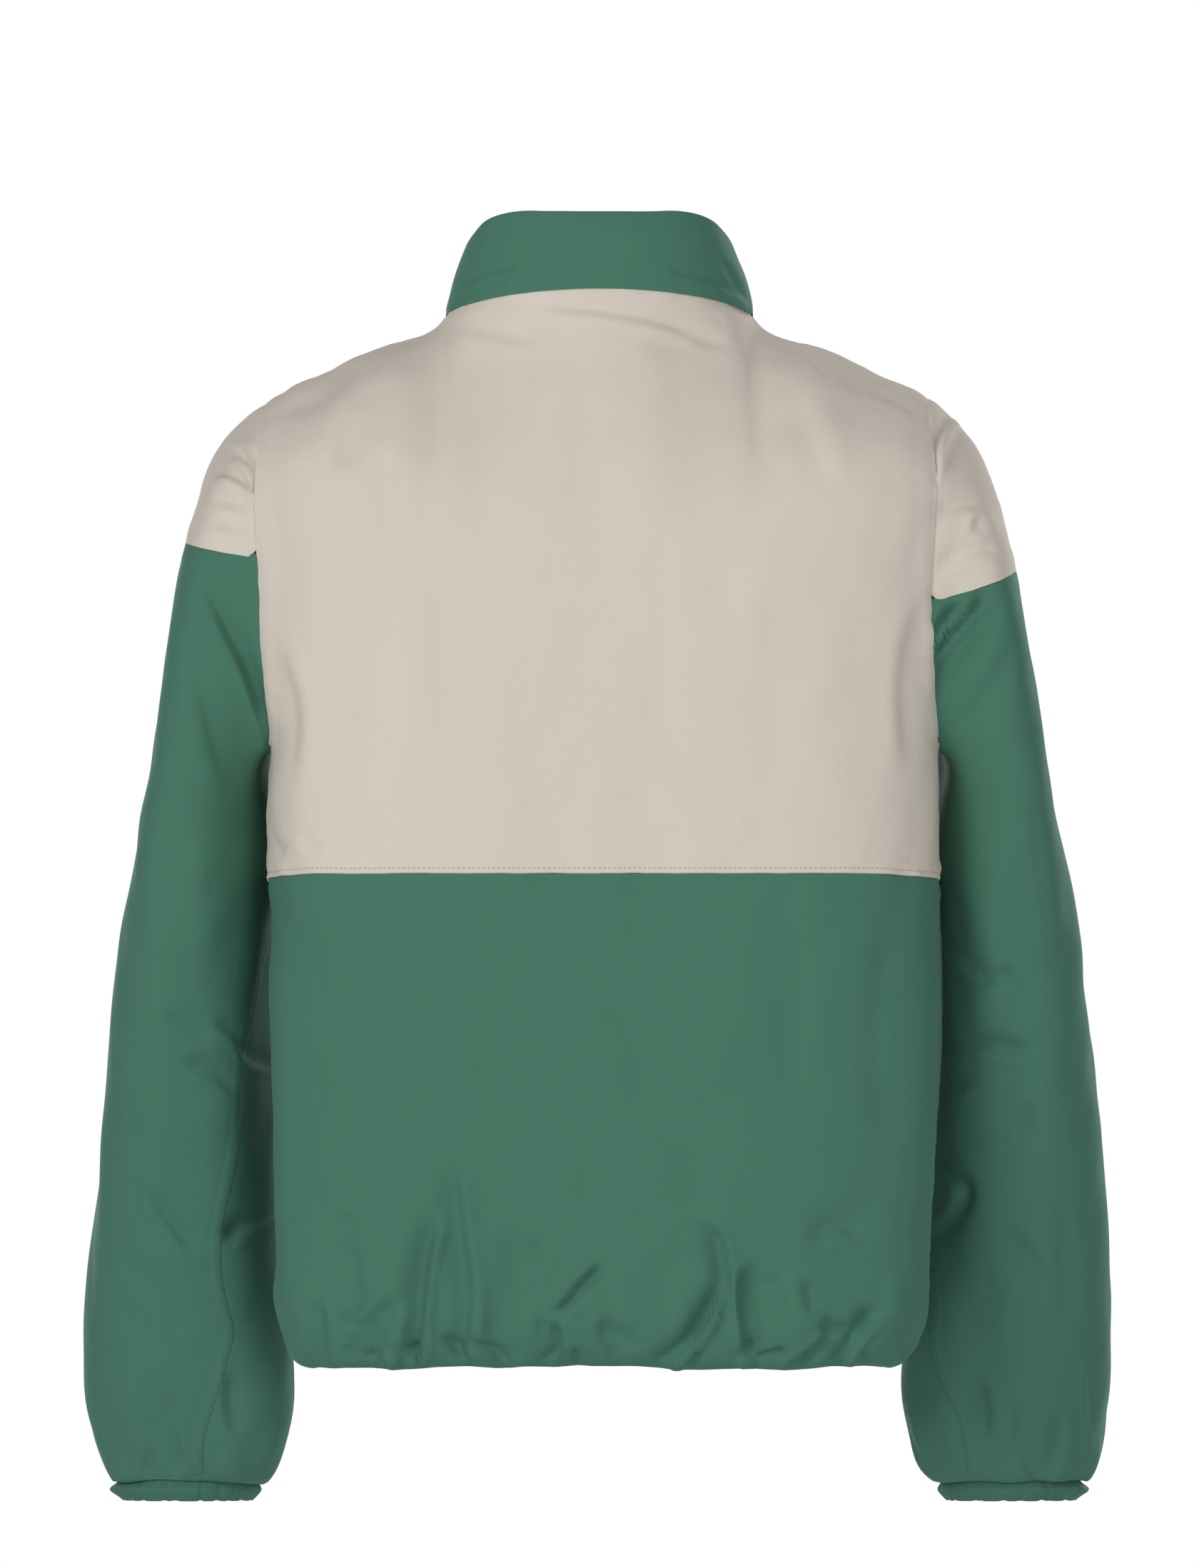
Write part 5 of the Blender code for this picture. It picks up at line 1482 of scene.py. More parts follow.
    def rim(self) -> list[tuple[Array, Array]]:
        """The panel's edges as loops of grid indices, each with the directions that point off the cloth."""
        rows, columns = self.points.shape[:2]
        index = np.arange(rows * columns).reshape(rows, columns)
        up, down = unit(self.points[0] - self.points[1]), unit(self.points[-1] - self.points[-2])
        if self.closed:
            return [(index[0], up), (index[-1][::-1], down[::-1])]
        left, right = unit(self.points[:, 0] - self.points[:, 1]), unit(self.points[:, -1] - self.points[:, -2])
        loop = np.concatenate([index[0], index[1:, -1], index[-1, ::-1][1:], index[::-1, 0][1:-1]])
        off = np.concatenate([up, right[1:], down[::-1][1:], left[::-1][1:-1]])
        for corner, extra in ((0, left[0]), (columns - 1, right[0]), (columns + rows - 2, down[-1])):
            off[corner] = unit(off[corner] + extra)
        last = 2 * columns + rows - 3
        off[last] = unit(off[last] + left[-1])
        return [(loop, off)]

    def build(self, material: bpy.types.Material) -> bpy.types.Object:
        """Makes the shell: its outer and inner sides, with rounded edges.

        Args:
            material: the cloth's finish.

        Returns:
            The piece.
        """
        rows, columns = self.points.shape[:2]
        self.measure()
        outer, normals = self.points.reshape(-1, 3), self.normals.reshape(-1, 3)
        thickness = self.thickness_map().reshape(-1, 1)
        inner = outer - normals * thickness
        quads = grid_quads(rows, columns, self.closed)
        points, faces = [outer, inner], [quads, quads[:, ::-1] + len(outer)]
        count = 2 * len(outer)
        for loop, off in self.rim():
            half = thickness[loop] / 2
            middle = (outer[loop] + inner[loop]) / 2
            rings = [loop]
            for turn in (math.pi / 4, math.pi / 2, 3 * math.pi / 4):
                points.append(middle + normals[loop] * half * math.cos(turn) + off * half * math.sin(turn))
                rings.append(np.arange(len(loop)) + count)
                count += len(loop)
            rings.append(loop + len(outer))
            for first, second in zip(rings, rings[1:]):
                faces.append(np.stack([first, np.roll(first, -1), np.roll(second, -1), second], axis=1))
        obj = mesh_piece(self.name, np.concatenate(points), np.concatenate(faces), material)
        self.unwrap(obj, len(outer))
        return obj

    def thickness_map(self) -> Array:
        """The shell's thickness at each point, thinner where it is sewn."""
        away = np.full(self.points.shape[:2], 1.0)
        for name, edge in self.edges.items():
            if edge in (Edge.SEAM, Edge.UNDER):
                away = np.minimum(away, self.distance(name))
        return self.sewn_thickness + (self.thickness - self.sewn_thickness) * ease(away / 0.006)

    def measure(self) -> None:
        """Measures the size and area that the piece was cut to, from its own surface."""
        across = np.linalg.norm(np.diff(self.points, axis=1, append=self.points[:, :1]), axis=2)
        if not self.closed:
            across = across[:, :-1]
        down = np.linalg.norm(np.diff(self.points, axis=0), axis=2)
        self.cut = (round(float(across.sum(axis=1).max()), 3), round(float(down.sum(axis=0).max()), 3))
        spans = np.diff(self.points, axis=0)[:, : across.shape[1]]
        steps = np.diff(self.points, axis=1, append=self.points[:, :1])[:-1, : across.shape[1]]
        self.cut_area = round(float(np.linalg.norm(np.cross(spans, steps), axis=2).sum()), 4)

    def unwrap(self, obj: bpy.types.Object, outer_count: int) -> None:
        """Gives each point its place on the flat cloth, in metres, for the weave."""
        across = np.concatenate(
            [np.zeros((self.points.shape[0], 1)), np.cumsum(np.linalg.norm(np.diff(self.points, axis=1), axis=2), axis=1)],
            axis=1,
        )
        down = self.distance("top")
        flat = np.stack([across, down], axis=-1).reshape(-1, 2)
        count = len(obj.data.vertices)
        every = np.zeros((count, 2))
        every[:outer_count], every[outer_count : 2 * outer_count] = flat, flat
        start = 2 * outer_count
        for loop, _ in self.rim():
            for _ in range(3):
                every[start : start + len(loop)] = flat[loop]
                start += len(loop)
        corners = np.empty(len(obj.data.loops), np.int32)
        obj.data.loops.foreach_get("vertex_index", corners)
        layer = obj.data.uv_layers.new(name="cloth")
        layer.uv.foreach_set("vector", every[corners].astype(np.float32).reshape(-1))

    def dress(self, obj: bpy.types.Object, sewn: list[bpy.types.Object], held: str = "hung") -> None:
        """Puts the piece on its body, hides the solid it stands for and logs its cut."""
        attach(obj, JACKET_BODY)
        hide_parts(self.name.removesuffix("_shell"))
        LOG.info("%s: cut %.0f x %.0f mm, %d faces", obj.name, self.cut[0] * 1e3, self.cut[1] * 1e3, len(obj.data.polygons))


def mesh_piece(name: str, points: Array, faces: Array, material: bpy.types.Material) -> bpy.types.Object:
    """A smooth-shaded object from points and four-sided faces.

    Args:
        name: the piece's name.
        points: its points.
        faces: its faces, as rows of four indices.
        material: its finish.

    Returns:
        The object.
    """
    mesh = bpy.data.meshes.new(name)
    mesh.from_pydata(points.tolist(), [], faces.tolist())
    mesh.validate()
    mesh.materials.append(material)
    mesh.shade_smooth()
    obj = bpy.data.objects.new(name, mesh)
    bpy.context.scene.collection.objects.link(obj)
    return obj


# ---------------------------------------------------------------- sewing
@dataclass(frozen=True)
class Topstitch:
    """A row of stitches, each a short thread that dives into the cloth at both ends."""

    length: float = 0.0021
    pitch: float = 0.0029
    radius: float = 0.00028
    sides: int = 6

    def sew(self, name: str, path: Array, normals: Array, material: bpy.types.Material) -> bpy.types.Object:
        """Sews along a line.

        Args:
            name: the piece's name.
            path: the line's points.
            normals: the cloth's outward directions there.
            material: the thread's finish.

        Returns:
            All the stitches as one piece.
        """
        steps = np.linalg.norm(np.diff(path, axis=0), axis=1)
        along = np.concatenate([[0.0], np.cumsum(steps)])
        starts = np.arange(self.pitch, along[-1] - self.pitch, self.pitch)
        shares, sizes, lifts = (0.0, 0.18, 0.5, 0.82, 1.0), (0.45, 0.9, 1.0, 0.9, 0.45), (-0.6, 0.2, 0.45, 0.2, -0.6)
        points, faces = [], []
        turns = 2 * math.pi * np.arange(self.sides) / self.sides
        for start in starts:
            first = len(points)
            for share, size, lift in zip(shares, sizes, lifts):
                at = start + share * self.length
                middle = np.array([np.interp(at, along, path[:, k]) for k in range(3)])
                normal = unit(np.array([np.interp(at, along, normals[:, k]) for k in range(3)]))
                ahead = np.array([np.interp(at + 0.0003, along, path[:, k]) for k in range(3)]) - middle
                across = unit(np.cross(unit(ahead), normal))
                centre = middle + normal * self.radius * lift
                for turn in turns:
                    points.append(centre + (across * math.cos(turn) + normal * 0.7 * math.sin(turn)) * self.radius * size)
            for ring in range(len(shares) - 1):
                for n in range(self.sides):
                    a, b = first + ring * self.sides + n, first + ring * self.sides + (n + 1) % self.sides
                    faces.append((a, b, b + self.sides, a + self.sides))
            last = first + (len(shares) - 1) * self.sides
            for base, order in ((first, (0, 5, 4, 3)), (first, (0, 3, 2, 1)), (last, (0, 1, 2, 3)), (last, (0, 3, 4, 5))):
                faces.append(tuple(base + n for n in order))
        obj = mesh_piece(name, np.array(points), np.array(faces), material)
        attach(obj, JACKET_BODY)
        return obj


@dataclass(frozen=True)
class SeamLap:
    """A seam inside a panel: the cloth on one side is turned under, so it stands a little proud."""

    width: float = 0.0070
    height: float = 0.0006
    columns: int = 9

    def build(
        self, name: str, path: Path, panel: Panel, material: bpy.types.Material, toward: float
    ) -> tuple[bpy.types.Object, Array, Array]:
        """Lays the lap on a panel.

        Args:
            name: the piece's name.
            path: x and z of the seam in millimetres, as seen from behind.
            panel: the panel that it lies on.
            material: the cloth's finish.
            toward: +1 if the raised side is towards the jacket's left.

        Returns:
            The piece, and the points and normals of its stitching line.
        """
        rows, columns = panel.points.shape[:2]
        quads = grid_quads(rows, columns, panel.closed)
        tree = BVHTree.FromPolygons(panel.points.reshape(-1, 3).tolist(), quads.tolist())
        knots = np.array([(x * MILLIMETRE, 0.0, z * MILLIMETRE) for x, z in path])[:, None, :]
        track = Track(knots)
        line = track.at(np.arange(0.0, track.length, 0.0020))[:, 0]
        ahead = np.gradient(line, axis=0)
        sideways = unit(np.stack([-ahead[:, 2], np.zeros(len(line)), ahead[:, 0]], axis=1))
        sideways *= np.sign(sideways[:, :1]) * toward
        profile = ((0.0, -0.3), (0.02, 0.7), (0.10, 1.0), (0.22, 0.75), (0.34, 0.95), (0.6, 0.8), (0.82, 0.35), (1.0, -0.3))
        points, stitch, stitch_normals = [], [], []
        for place, side in zip(line, sideways):
            row = []
            for share, lift in profile:
                start = place + side * share * self.width + np.array([0.0, 0.6, 0.0])
                hit, normal, _, _ = tree.ray_cast(Vector(start), Vector((0.0, -1.0, 0.0)))
                if hit is None:
                    break
                row.append(np.array(hit) + np.array(normal) * self.height * lift)
                if share == 0.22:
                    seam_point, seam_normal = row[-1], np.array(normal)
            if len(row) == len(profile):
                points.append(row)
                stitch.append(seam_point)
                stitch_normals.append(seam_normal)
        grid = np.array(points)
        count, wide = grid.shape[:2]
        quads = grid_quads(count, wide, False)
        if toward > 0:
            quads = quads[:, ::-1]
        obj = mesh_piece(name, grid.reshape(-1, 3), quads, material)
        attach(obj, JACKET_BODY)
        return obj, np.array(stitch), np.array(stitch_normals)


# ---------------------------------------------------------------- the jacket's parts
class Options(Enum):
    """How fine the cloth's points lie, in metres."""

    BODY_STEP = 0.0024
    SLEEVE_STEP = 0.0028
    COLLAR_STEP = 0.0018


@dataclass
class Wardrobe:
    """The finishes that the pieces share."""

    cream: ShellCloth = ShellCloth("cream_shell_cloth", (0.655, 0.590, 0.520))
    green: ShellCloth = ShellCloth("green_shell_cloth", (0.064, 0.180, 0.126), sheen=0.30)
    cuff: ShellCloth = ShellCloth("gathered_cuff_cloth", (0.060, 0.168, 0.118), sheen=0.30, crinkle=0.5)
    tape: ShellCloth = ShellCloth("zip_tape_weave", (0.052, 0.142, 0.098), roughness=0.75, weave=0.5)
    cream_thread: Thread = Thread("cream_thread", (0.44, 0.39, 0.34))
    green_thread: Thread = Thread("green_thread", (0.040, 0.110, 0.078))
    metal: ZipMetal = ZipMetal("satin_zip_metal")
    made: dict[str, bpy.types.Material] = field(default_factory=dict)

    def of(self, name: str) -> bpy.types.Material:
        """The material of one finish, made once."""
        if name not in self.made:
            self.made[name] = getattr(self, name).material()
        return self.made[name]


@dataclass
class BodyCloth:
    """The yokes and the lower panels, back and front, with the turned edge of each yoke."""

    form: Form
    wardrobe: Wardrobe
    gathered: Ripple = Ripple(13, (0.014, 0.034), 0.0011, (1.0, 1.0, 4.0))

    def build(self) -> None:
        """Builds and dresses every body panel."""
        step = Options.BODY_STEP.value
        for name in ("back_yoke", "front_yoke_left", "front_yoke_right"):
            face = Face.BACK if name.startswith("back") else Face.FRONT
            zip_edge = {"front_yoke_left": "left", "front_yoke_right": "right"}.get(name)
            edges = {edge: Edge.SEAM if face is Face.BACK else Edge.UNDER for edge in ("top", "left", "right")}
            if zip_edge:
                edges[zip_edge] = Edge.FOLD
            panel = Panel.smooth(self.form, name, "cream_cloth", step, bottom=Edge.LAPPED, **edges)
            panel.soften(40)
            panel.move(self.shoulder_relief(panel))
            panel.lay(BACK_YOKE_CREASES if face is Face.BACK else FRONT_YOKE_CREASES, face, (DRAPE, CRUSH))
            panel.move(panel.edge_relief())
            panel.name = f"{name}_shell"
            obj = panel.build(self.wardrobe.of("cream"))
            thread = self.wardrobe.of("cream_thread")
            sewn = [Topstitch().sew(f"{name}_topstitch", *panel.line("bottom", 0.0022), thread)]
            if zip_edge:
                sewn.append(Topstitch().sew(f"{name}_zip_stitch", *panel.line(zip_edge, 0.0055), thread))
            panel.dress(obj, sewn)
        for name in ("back_lower", "front_lower_left", "front_lower_right"):
            face = Face.BACK if name.startswith("back") else Face.FRONT
            zip_edge = {"front_lower_left": "left", "front_lower_right": "right"}.get(name)
            edges = {edge: Edge.SEAM if face is Face.BACK else Edge.UNDER for edge in ("left", "right")}
            if zip_edge:
                edges[zip_edge] = Edge.FOLD
            panel = Panel.smooth(self.form, name, "green_cloth", step, top=Edge.UNDER, bottom=Edge.FOLD, **edges)
            panel.soften(30)
            panel.lay(BACK_HEM_CREASES if face is Face.BACK else FRONT_HEM_CREASES, face, (DRAPE, CRUSH))
            panel.move(panel.edge_relief() + self.hem_relief(panel))
            panel.name = f"{name}_shell"
            obj = panel.build(self.wardrobe.of("green"))
            sewn = []
            if zip_edge:
                thread = self.wardrobe.of("green_thread")
                sewn.append(Topstitch().sew(f"{name}_zip_stitch", *panel.line(zip_edge, 0.0055), thread))
            panel.dress(obj, sewn, held="gathered")

    @staticmethod
    def shoulder_relief(panel: Panel) -> Array:
        """How the shoulders sink a little between the neck and the armholes."""
        away = np.abs(panel.points[..., 0])
        level = ease((panel.normals[..., 2] - 0.25) / 0.4) * ease((away - 0.082) / 0.012) * ease((0.178 - away) / 0.022)
        return -(0.0014 + 0.0012 * np.exp(-(((away - 0.100) / 0.012) ** 2))) * level

    def hem_relief(self, panel: Panel) -> Array:
        """The small gathers that the elastic draws up along the hem."""
        low = ease((-0.530 - panel.points[..., 2]) / 0.055)
        return self.gathered.relief(panel.points) * low * (1 - 0.85 * panel.normals[..., 2] ** 2)


@dataclass
class SleeveCloth:
    """One sleeve with its cap and cuff, and the seam down its back."""

    form: Form
    wardrobe: Wardrobe
    side: Side
    caps: dict[Side, CapSeam] = field(
        default_factory=lambda: {
            Side.LEFT: CapSeam(-0.1227, 0.2355, 0.165, -0.060),
            Side.RIGHT: CapSeam(-0.1390, 0.2390, 0.339, -0.060),
        }
    )
    seams: dict[Side, Path] = field(
        default_factory=lambda: {
            Side.LEFT: (
                (190, -353), (194, -371), (199, -400), (204, -416), (205, -429), (207, -466), (211, -490),
                (217, -517), (218, -545), (214, -566), (211, -578), (215, -597), (222, -621), (228, -641), (229, -662),
            ),
            Side.RIGHT: (
                (-190, -545), (-191, -563), (-192, -597), (-198, -612), (-206, -628), (-210, -644), (-213, -662),
            ),
        }
    )
    gathered: Ripple = Ripple(33, (0.014, 0.032), 0.0009, (1.0, 1.0, 5.0))
    fullness: float = 0.009

    def build(self) -> None:
        """Builds and dresses the sleeve, its cap and its cuff."""
        name = f"sleeve_{self.side.value}"
        step = Options.SLEEVE_STEP.value
        grid = padded(self.form.grids[name], self.form.beyond(name))[:, 1:-1]
        ring = np.concatenate([grid[:, -1:], grid, grid[:, :2]], axis=1)
        columns = Track(ring.transpose(1, 0, 2), 1, ring.shape[1] - 2)
        count = int(round(columns.length / step))
        across = columns.at(np.linspace(0.0, columns.length, count, endpoint=False)).transpose(1, 0, 2)
        track = Track(across, 1, len(grid) - 2)
        fine = track.at(np.linspace(0.0, track.length, 260))
        finer_normals = grid_normals(fine, True)
        seam = self.seam_places(track)
        share = spread(0.0, 1.0, step / track.length, (0.0012, 0.0028, 0.0050))
        start = seam - UNDER_REACH
        places = share[:, None] * (track.length - 0.001) + start[None, :] * (1 - share[:, None]) ** 3
        self.build_sleeve(name, track, places, finer_normals)
        self.build_cap(track, seam, finer_normals)
        self.build_cuff()

    def seam_places(self, track: Track) -> Array:
        """How far down each path the cap's seam crosses it, or 0 where the path starts below it."""
        places = np.linspace(0.0, track.length, 900)
        above = self.caps[self.side].height_above(track.at(places))
        below = above < 0
        first = np.argmax(below, axis=0)
        path = np.arange(above.shape[1])
        before = np.maximum(first - 1, 0)
        high, low = above[before, path], above[first, path]
        t = np.clip(high / np.maximum(high - low, 1e-12), 0.0, 1.0)
        found = places[before] + (places[first] - places[before]) * t
        return np.where(first == 0, 0.0, found)

    @staticmethod
    def normals_at(track: Track, normals: Array, places: Array) -> Array:
        """The surface's normals at places on its paths, read from normals at even distances."""
        row = np.clip(places / track.length, 0.0, 1.0) * (len(normals) - 1)
        low = np.minimum(row.astype(int), len(normals) - 2)
        t = (row - low)[..., None]
        path = np.arange(normals.shape[1])[None, :] + np.zeros_like(low)
        return unit(normals[low, path] * (1 - t) + normals[low + 1, path] * t)

    def build_sleeve(self, name: str, track: Track, places: Array, normals: Array) -> None:
        """Builds the sleeve below its cap, with its creases and the seam down its back."""
        points, outwards = track.at(places), self.normals_at(track, normals, places)
        towards_body = ease((-self.side.sign * outwards[..., 0] - 0.10) / 0.70) * ease((outwards[..., 1] + 0.6) / 0.8)
        points[..., 1] += self.fullness * towards_body * ease((-0.26 - points[..., 2]) / 0.08)
        panel = Panel(name, "green_cloth", points, grid_normals(points, True), True)
        panel.edges = {"top": Edge.UNDER}
        panel.soften(16)
        calm = 1 - 0.7 * ease((np.abs(panel.normals[..., 0]) - 0.50) / 0.4)
        panel.lay(SLEEVE_CREASES, Face.BACK, (DRAPE, CRUSH), calm)
        panel.lay(SLEEVE_FRONT_CREASES, Face.FRONT, (), calm)
        panel.move(panel.edge_relief())
        low = ease((-0.615 - panel.points[..., 2]) / 0.045)
        panel.move(self.gathered.relief(panel.points) * low * (1 - 0.8 * panel.normals[..., 2] ** 2))
        panel.name = f"{name}_shell"
        cloth, thread = self.wardrobe.of("green"), self.wardrobe.of("green_thread")
        obj = panel.build(cloth)
        lap, line, line_normals = SeamLap().build(
            f"{name}_seam_lap", self.seams[self.side], panel, cloth, self.side.sign
        )
        stitches = Topstitch().sew(f"{name}_topstitch", line, line_normals, thread)
        panel.dress(obj, [lap, stitches])

    def build_cap(self, track: Track, seam: Array, normals: Array) -> None:
        """Builds the cap between the armhole and its own seam."""
        name = f"sleeve_cap_{self.side.value}"
        tall = seam > 0.0012
        start = int(np.argmax(~tall))
        order = np.roll(np.arange(len(seam)), -start)
        order = order[tall[order]]
        share = spread(0.0, 1.0, 0.021, (0.010, 0.022, 0.040))
        whole = np.zeros((len(share), len(seam)))
        whole[:, order] = (seam[order] + UNDER_REACH + 0.0002)[None, :] * share[:, None] - UNDER_REACH
        points = track.at(whole)[:, order]
        panel = Panel(name, "cream_cloth", points, self.normals_at(track, normals, whole)[:, order])
        panel.edges = {"top": Edge.UNDER, "bottom": Edge.SEAM}
        panel.soften(6)
        calm = 1 - 0.8 * ease((np.abs(panel.normals[..., 0]) - 0.55) / 0.4)
        panel.lay(CAP_CREASES, Face.BACK, (DRAPE, CRUSH), calm)
        panel.lay(CAP_FRONT_CREASES, Face.FRONT, (), calm)
        panel.move(panel.edge_relief())
        panel.name = f"{name}_shell"
        panel.dress(panel.build(self.wardrobe.of("cream")), [])

    def build_cuff(self) -> None:
        """Builds the elastic cuff, gathered unevenly round its ring."""
        name = f"cuff_{self.side.value}"
        arm, random = self.form.arm, np.random.default_rng(51 if self.side is Side.LEFT else 52)
        turns = 2 * math.pi * np.arange(320) / 320
        rings = np.array([arm.ring(level, turns) for level in arm.cuff])
        rings = np.concatenate([[rings[0] + np.array([0.0, 0.0, 0.004])], rings])
        if self.side is Side.RIGHT:
            rings = mirrored(rings, self.side)[:, ::-1]
        track = Track(rings)
        points = track.at(np.linspace(0.0, track.length - 0.001, 14))
        gathers = np.zeros(len(turns))
        for place in np.linspace(0, 2 * math.pi, 22, endpoint=False) + random.uniform(-0.1, 0.1, 22):
            away = np.abs((turns - place + math.pi) % (2 * math.pi) - math.pi)
            gathers -= random.uniform(0.0003, 0.0011) * np.exp(-((away / random.uniform(0.030, 0.075)) ** 2))
        panel = Panel(name, "cuff_cloth", points, grid_normals(points, True), True, 0.0016)
        panel.move(gathers[None, :] * np.linspace(0.7, 1.0, len(points))[:, None] + 0.0004)
        panel.name = f"{name}_shell"
        panel.dress(panel.build(self.wardrobe.of("cuff")), [], held="gathered")


@dataclass
class CollarCloth:
    """The stand collar, folded over at its top."""

    form: Form
    wardrobe: Wardrobe
    thickness: float = 0.0030

    def build(self) -> None:
        """Builds and dresses the collar."""
        edges = {"bottom": Edge.SEAM, "left": Edge.FOLD, "right": Edge.FOLD, "top": Edge.FOLD}
        panel = Panel.smooth(self.form, "collar", "green_cloth", Options.COLLAR_STEP.value, self.thickness, **edges)
        soft = Ripple(61, (0.020, 0.060), 0.00035, (1.6, 1.6, 1.0))
        panel.lay(COLLAR_CREASES, Face.BACK, (soft,))
        panel.move(panel.edge_relief() + 0.0008 * (1 - ease(panel.distance("bottom") / 0.012)))
        panel.name = "collar_shell"
        obj = panel.build(self.wardrobe.of("green"))
        thread = self.wardrobe.of("green_thread")
        sewn = [Topstitch().sew(f"collar_zip_stitch_{edge}", *panel.line(edge, 0.0055), thread) for edge in ("left", "right")]
        panel.dress(obj, sewn)


@dataclass
class FrontZip:
    """The front zip: its tapes, slider and pull keep their solids, and its teeth are added."""

    frame: dict
    wardrobe: Wardrobe
    pitch: float = 0.0024
    tooth: tuple[float, float, float] = (0.0030, 0.0014, 0.0013)

    def build(self) -> None:
        """Dresses the zip's solids and builds its teeth."""
        nodes = self.frame["nodes"]
        for name, finish in (
            ("zip_tape_left", "tape"), ("zip_tape_right", "tape"), ("zip_slider", "metal"), ("zip_pull", "metal"),
        ):
            mesh = nodes[name].data
            mesh.materials.clear()
            mesh.materials.append(self.wardrobe.of(finish))
        points = np.array([vertex.co for vertex in nodes["zip_tape_left"].data.vertices])
        middle = points[points[:, 0] < 0.001]
        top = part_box("zip_slider")[0].z - 0.001
        heights = np.arange(middle[:, 2].min() + 0.004, top, self.pitch / 2)
        self.teeth(middle, heights)

    def teeth(self, middle: Array, heights: Array) -> None:
        """Builds the closed teeth, turn about from the left and the right tape."""
        bins: dict[int, float] = {}
        for _, y, z in middle:
            key = round(z * 1e5)
            bins[key] = min(bins.get(key, 1.0), y)
        zs = np.array(sorted(bins)) / 1e5
        ys = np.array([bins[key] for key in sorted(bins)])
        keep = zs > zs.min() + 0.006
        zs, ys = zs[keep], ys[keep]
        points, faces = [], []
        width, depth, height = self.tooth
        for n, z in enumerate(heights[heights > zs.min()]):
            side = 1.0 if n % 2 else -1.0
            y = float(np.interp(z, zs, ys)) - depth / 2 - 0.0001
            first = len(points)
            for face_y, shrink in ((depth / 2, 1.0), (-depth / 2, 0.72)):
                for dx, dz in ((-1, -1), (1, -1), (1, 1), (-1, 1)):
                    x = side * 0.0006 + dx * width / 2 * shrink
                    points.append((x, y + face_y, z + dz * height / 2 * shrink * 0.8))
            for quad in ((0, 3, 2, 1), (4, 5, 6, 7), (0, 1, 5, 4), (1, 2, 6, 5), (2, 3, 7, 6), (3, 0, 4, 7)):
                faces.append(tuple(first + corner for corner in reversed(quad)))
        obj = mesh_piece("zip_teeth", np.array(points), np.array(faces), self.wardrobe.of("metal"))
        obj.data.shade_flat()
        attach(obj, JACKET_BODY)
        LOG.info("zip_teeth: %d teeth", len(points) // 8)


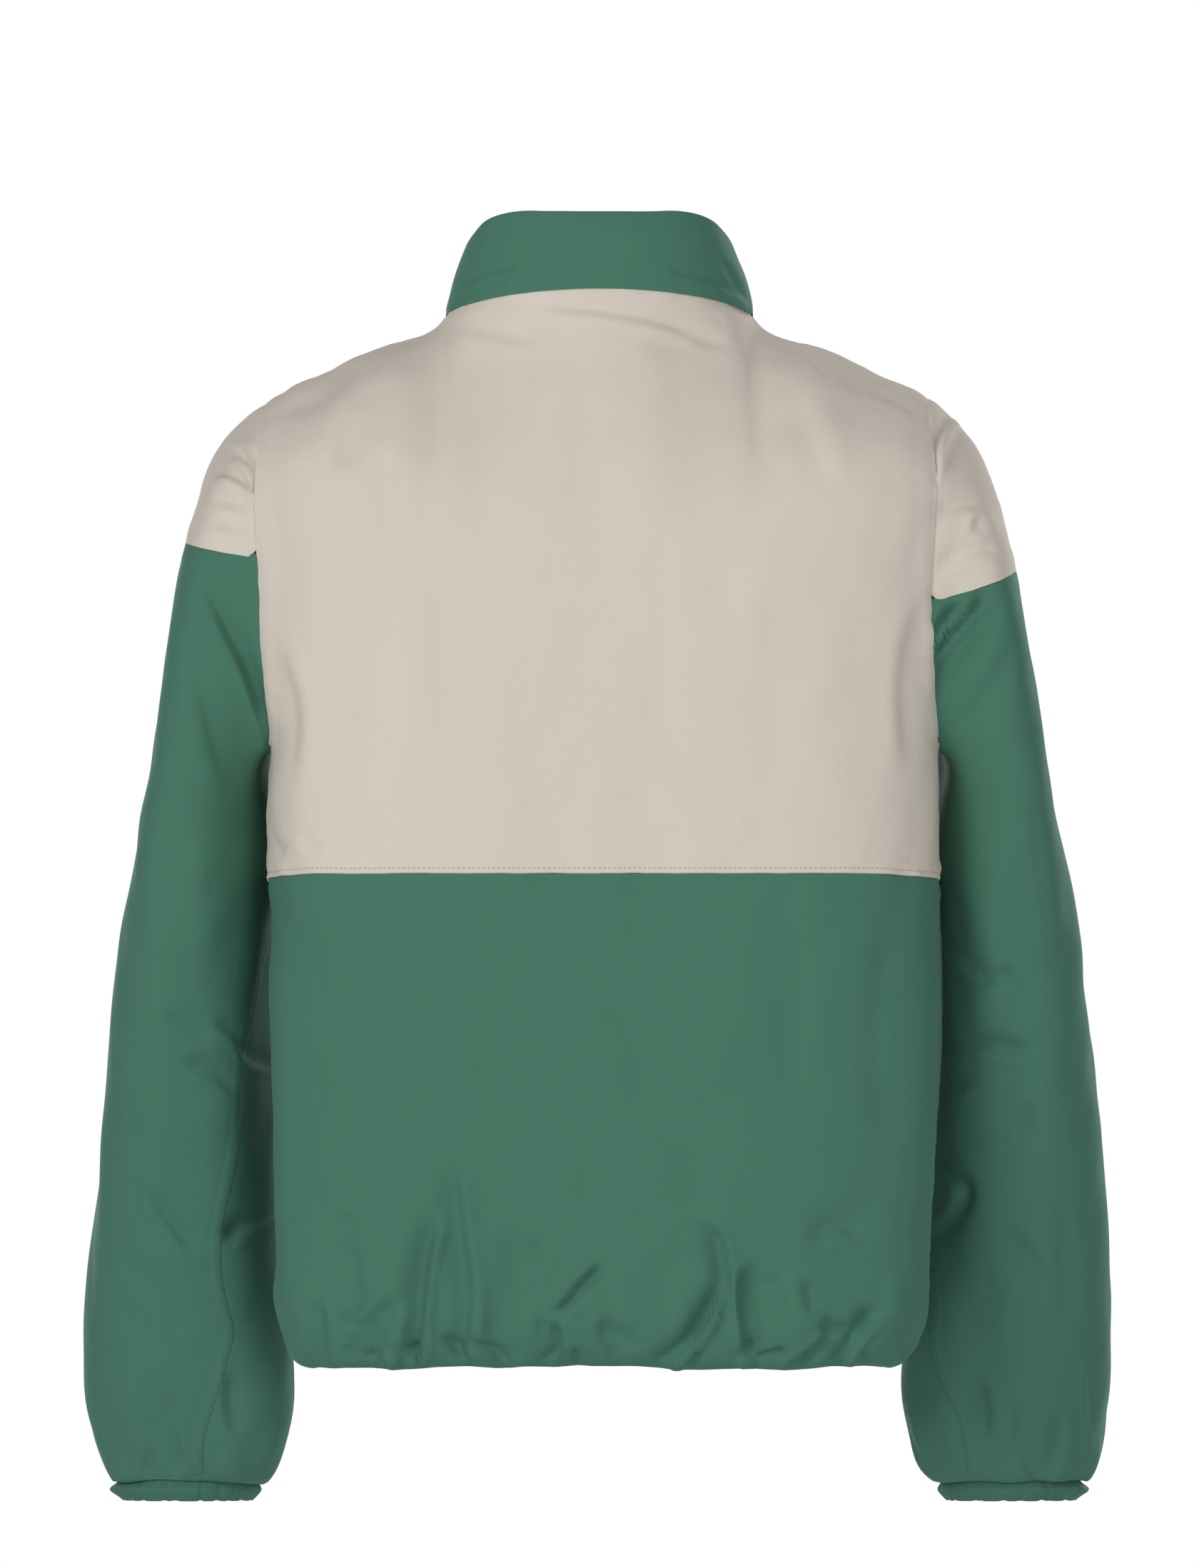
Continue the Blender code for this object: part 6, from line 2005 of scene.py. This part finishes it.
@dataclass(frozen=True)
class Studio:
    """The pale studio: floor, soft lights and the camera behind the jacket."""

    photo_height_px: int = 2197
    metres_per_px: float = 0.000411
    origin_px: tuple[float, float] = (840.0, 457.0)
    camera_distance: float = 30.0
    sensor: float = 36.0
    floor_z: float = -1.45
    floor_size: float = 14.0

    def build(self) -> None:
        """Sets up the whole studio."""
        self.camera()
        self.floor()
        self.world()
        self.light("key", (3.0, 4.4, 1.1), (0.0, 0.0, -0.30), 2.0, 106.0)
        self.light("fill", (-1.5, 5.2, 0.1), (0.0, 0.0, -0.30), 1.6, 66.0)
        self.light("front_key", (-2.8, -4.4, 1.2), (0.0, 0.0, -0.30), 2.0, 112.0)
        self.light("front_fill", (1.4, -5.0, 0.0), (0.0, 0.0, -0.30), 2.0, 56.0)

    def camera(self) -> None:
        """The camera, level with the middle of the photograph."""
        centre_z = (self.origin_px[1] - self.photo_height_px / 2) * self.metres_per_px
        data = bpy.data.cameras.new("camera")
        data.sensor_fit = "VERTICAL"
        data.sensor_height = self.sensor
        data.lens = self.sensor * self.camera_distance / (self.photo_height_px * self.metres_per_px)
        data.clip_end = 200.0
        camera = bpy.data.objects.new("camera", data)
        camera.location = (0.0, self.camera_distance, centre_z)
        camera.rotation_euler = (math.radians(90), 0.0, math.radians(180))
        bpy.context.scene.collection.objects.link(camera)
        bpy.context.scene.camera = camera

    def floor(self) -> None:
        """A plain pale floor, below the camera's view."""
        half = self.floor_size / 2
        corners = np.array([(-half, -half, 0.0), (half, -half, 0.0), (half, half, 0.0), (-half, half, 0.0)])
        corners[:, 2] = self.floor_z
        floor = mesh_piece("floor", corners, np.array([(0, 1, 2, 3)]), PalePlain("floor_pale", (0.70,) * 3).material())

    def world(self) -> None:
        """A white room that lights softly from all round, most from its walls."""
        world = bpy.data.worlds.new("studio")
        world.use_nodes = True
        nodes, links = world.node_tree.nodes, world.node_tree.links
        background = nodes["Background"]
        background.inputs["Color"].default_value = (1.0, 1.0, 1.0, 1.0)
        seen = nodes.new("ShaderNodeLightPath")
        strength = nodes.new("ShaderNodeMapRange")
        height = nodes.new("ShaderNodeSeparateXYZ")
        links.new(nodes.new("ShaderNodeTexCoord").outputs["Generated"], height.inputs["Vector"])
        steep = nodes.new("ShaderNodeMath")
        steep.operation = "ABSOLUTE"
        links.new(height.outputs["Z"], steep.inputs[0])
        softer = nodes.new("ShaderNodeMapRange")
        softer.inputs["To Min"].default_value = 0.44
        softer.inputs["To Max"].default_value = 0.32
        links.new(steep.outputs[0], softer.inputs["Value"])
        links.new(softer.outputs["Result"], strength.inputs["To Min"])
        strength.inputs["To Max"].default_value = 1.0
        links.new(seen.outputs["Is Camera Ray"], strength.inputs["Value"])
        links.new(strength.outputs["Result"], background.inputs["Strength"])
        bpy.context.scene.world = world
        bpy.context.scene.view_settings.view_transform = "Standard"

    @staticmethod
    def light(name: str, place: tuple, target: tuple, size: float, power: float) -> None:
        """One large soft light.

        Args:
            name: the light's name.
            place: where it stands.
            target: what it faces.
            size: its width and height.
            power: its power in watts.
        """
        data = bpy.data.lights.new(name, "AREA")
        data.size, data.energy = size, power
        light = bpy.data.objects.new(name, data)
        light.location = place
        light.rotation_euler = (Vector(target) - Vector(place)).to_track_quat("-Z", "Y").to_euler()
        bpy.context.scene.collection.objects.link(light)


def main() -> None:
    """Loads the frame, then builds and dresses the jacket and its studio."""
    logging.basicConfig(level=logging.INFO, format="%(name)s %(message)s")
    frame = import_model()
    wardrobe = Wardrobe()
    form = Form().build()
    BodyCloth(form, wardrobe).build()
    for side in Side:
        SleeveCloth(form, wardrobe, side).build()
    CollarCloth(form, wardrobe).build()
    FrontZip(frame, wardrobe).build()
    Studio().build()


if __name__ == "__main__":
    main()
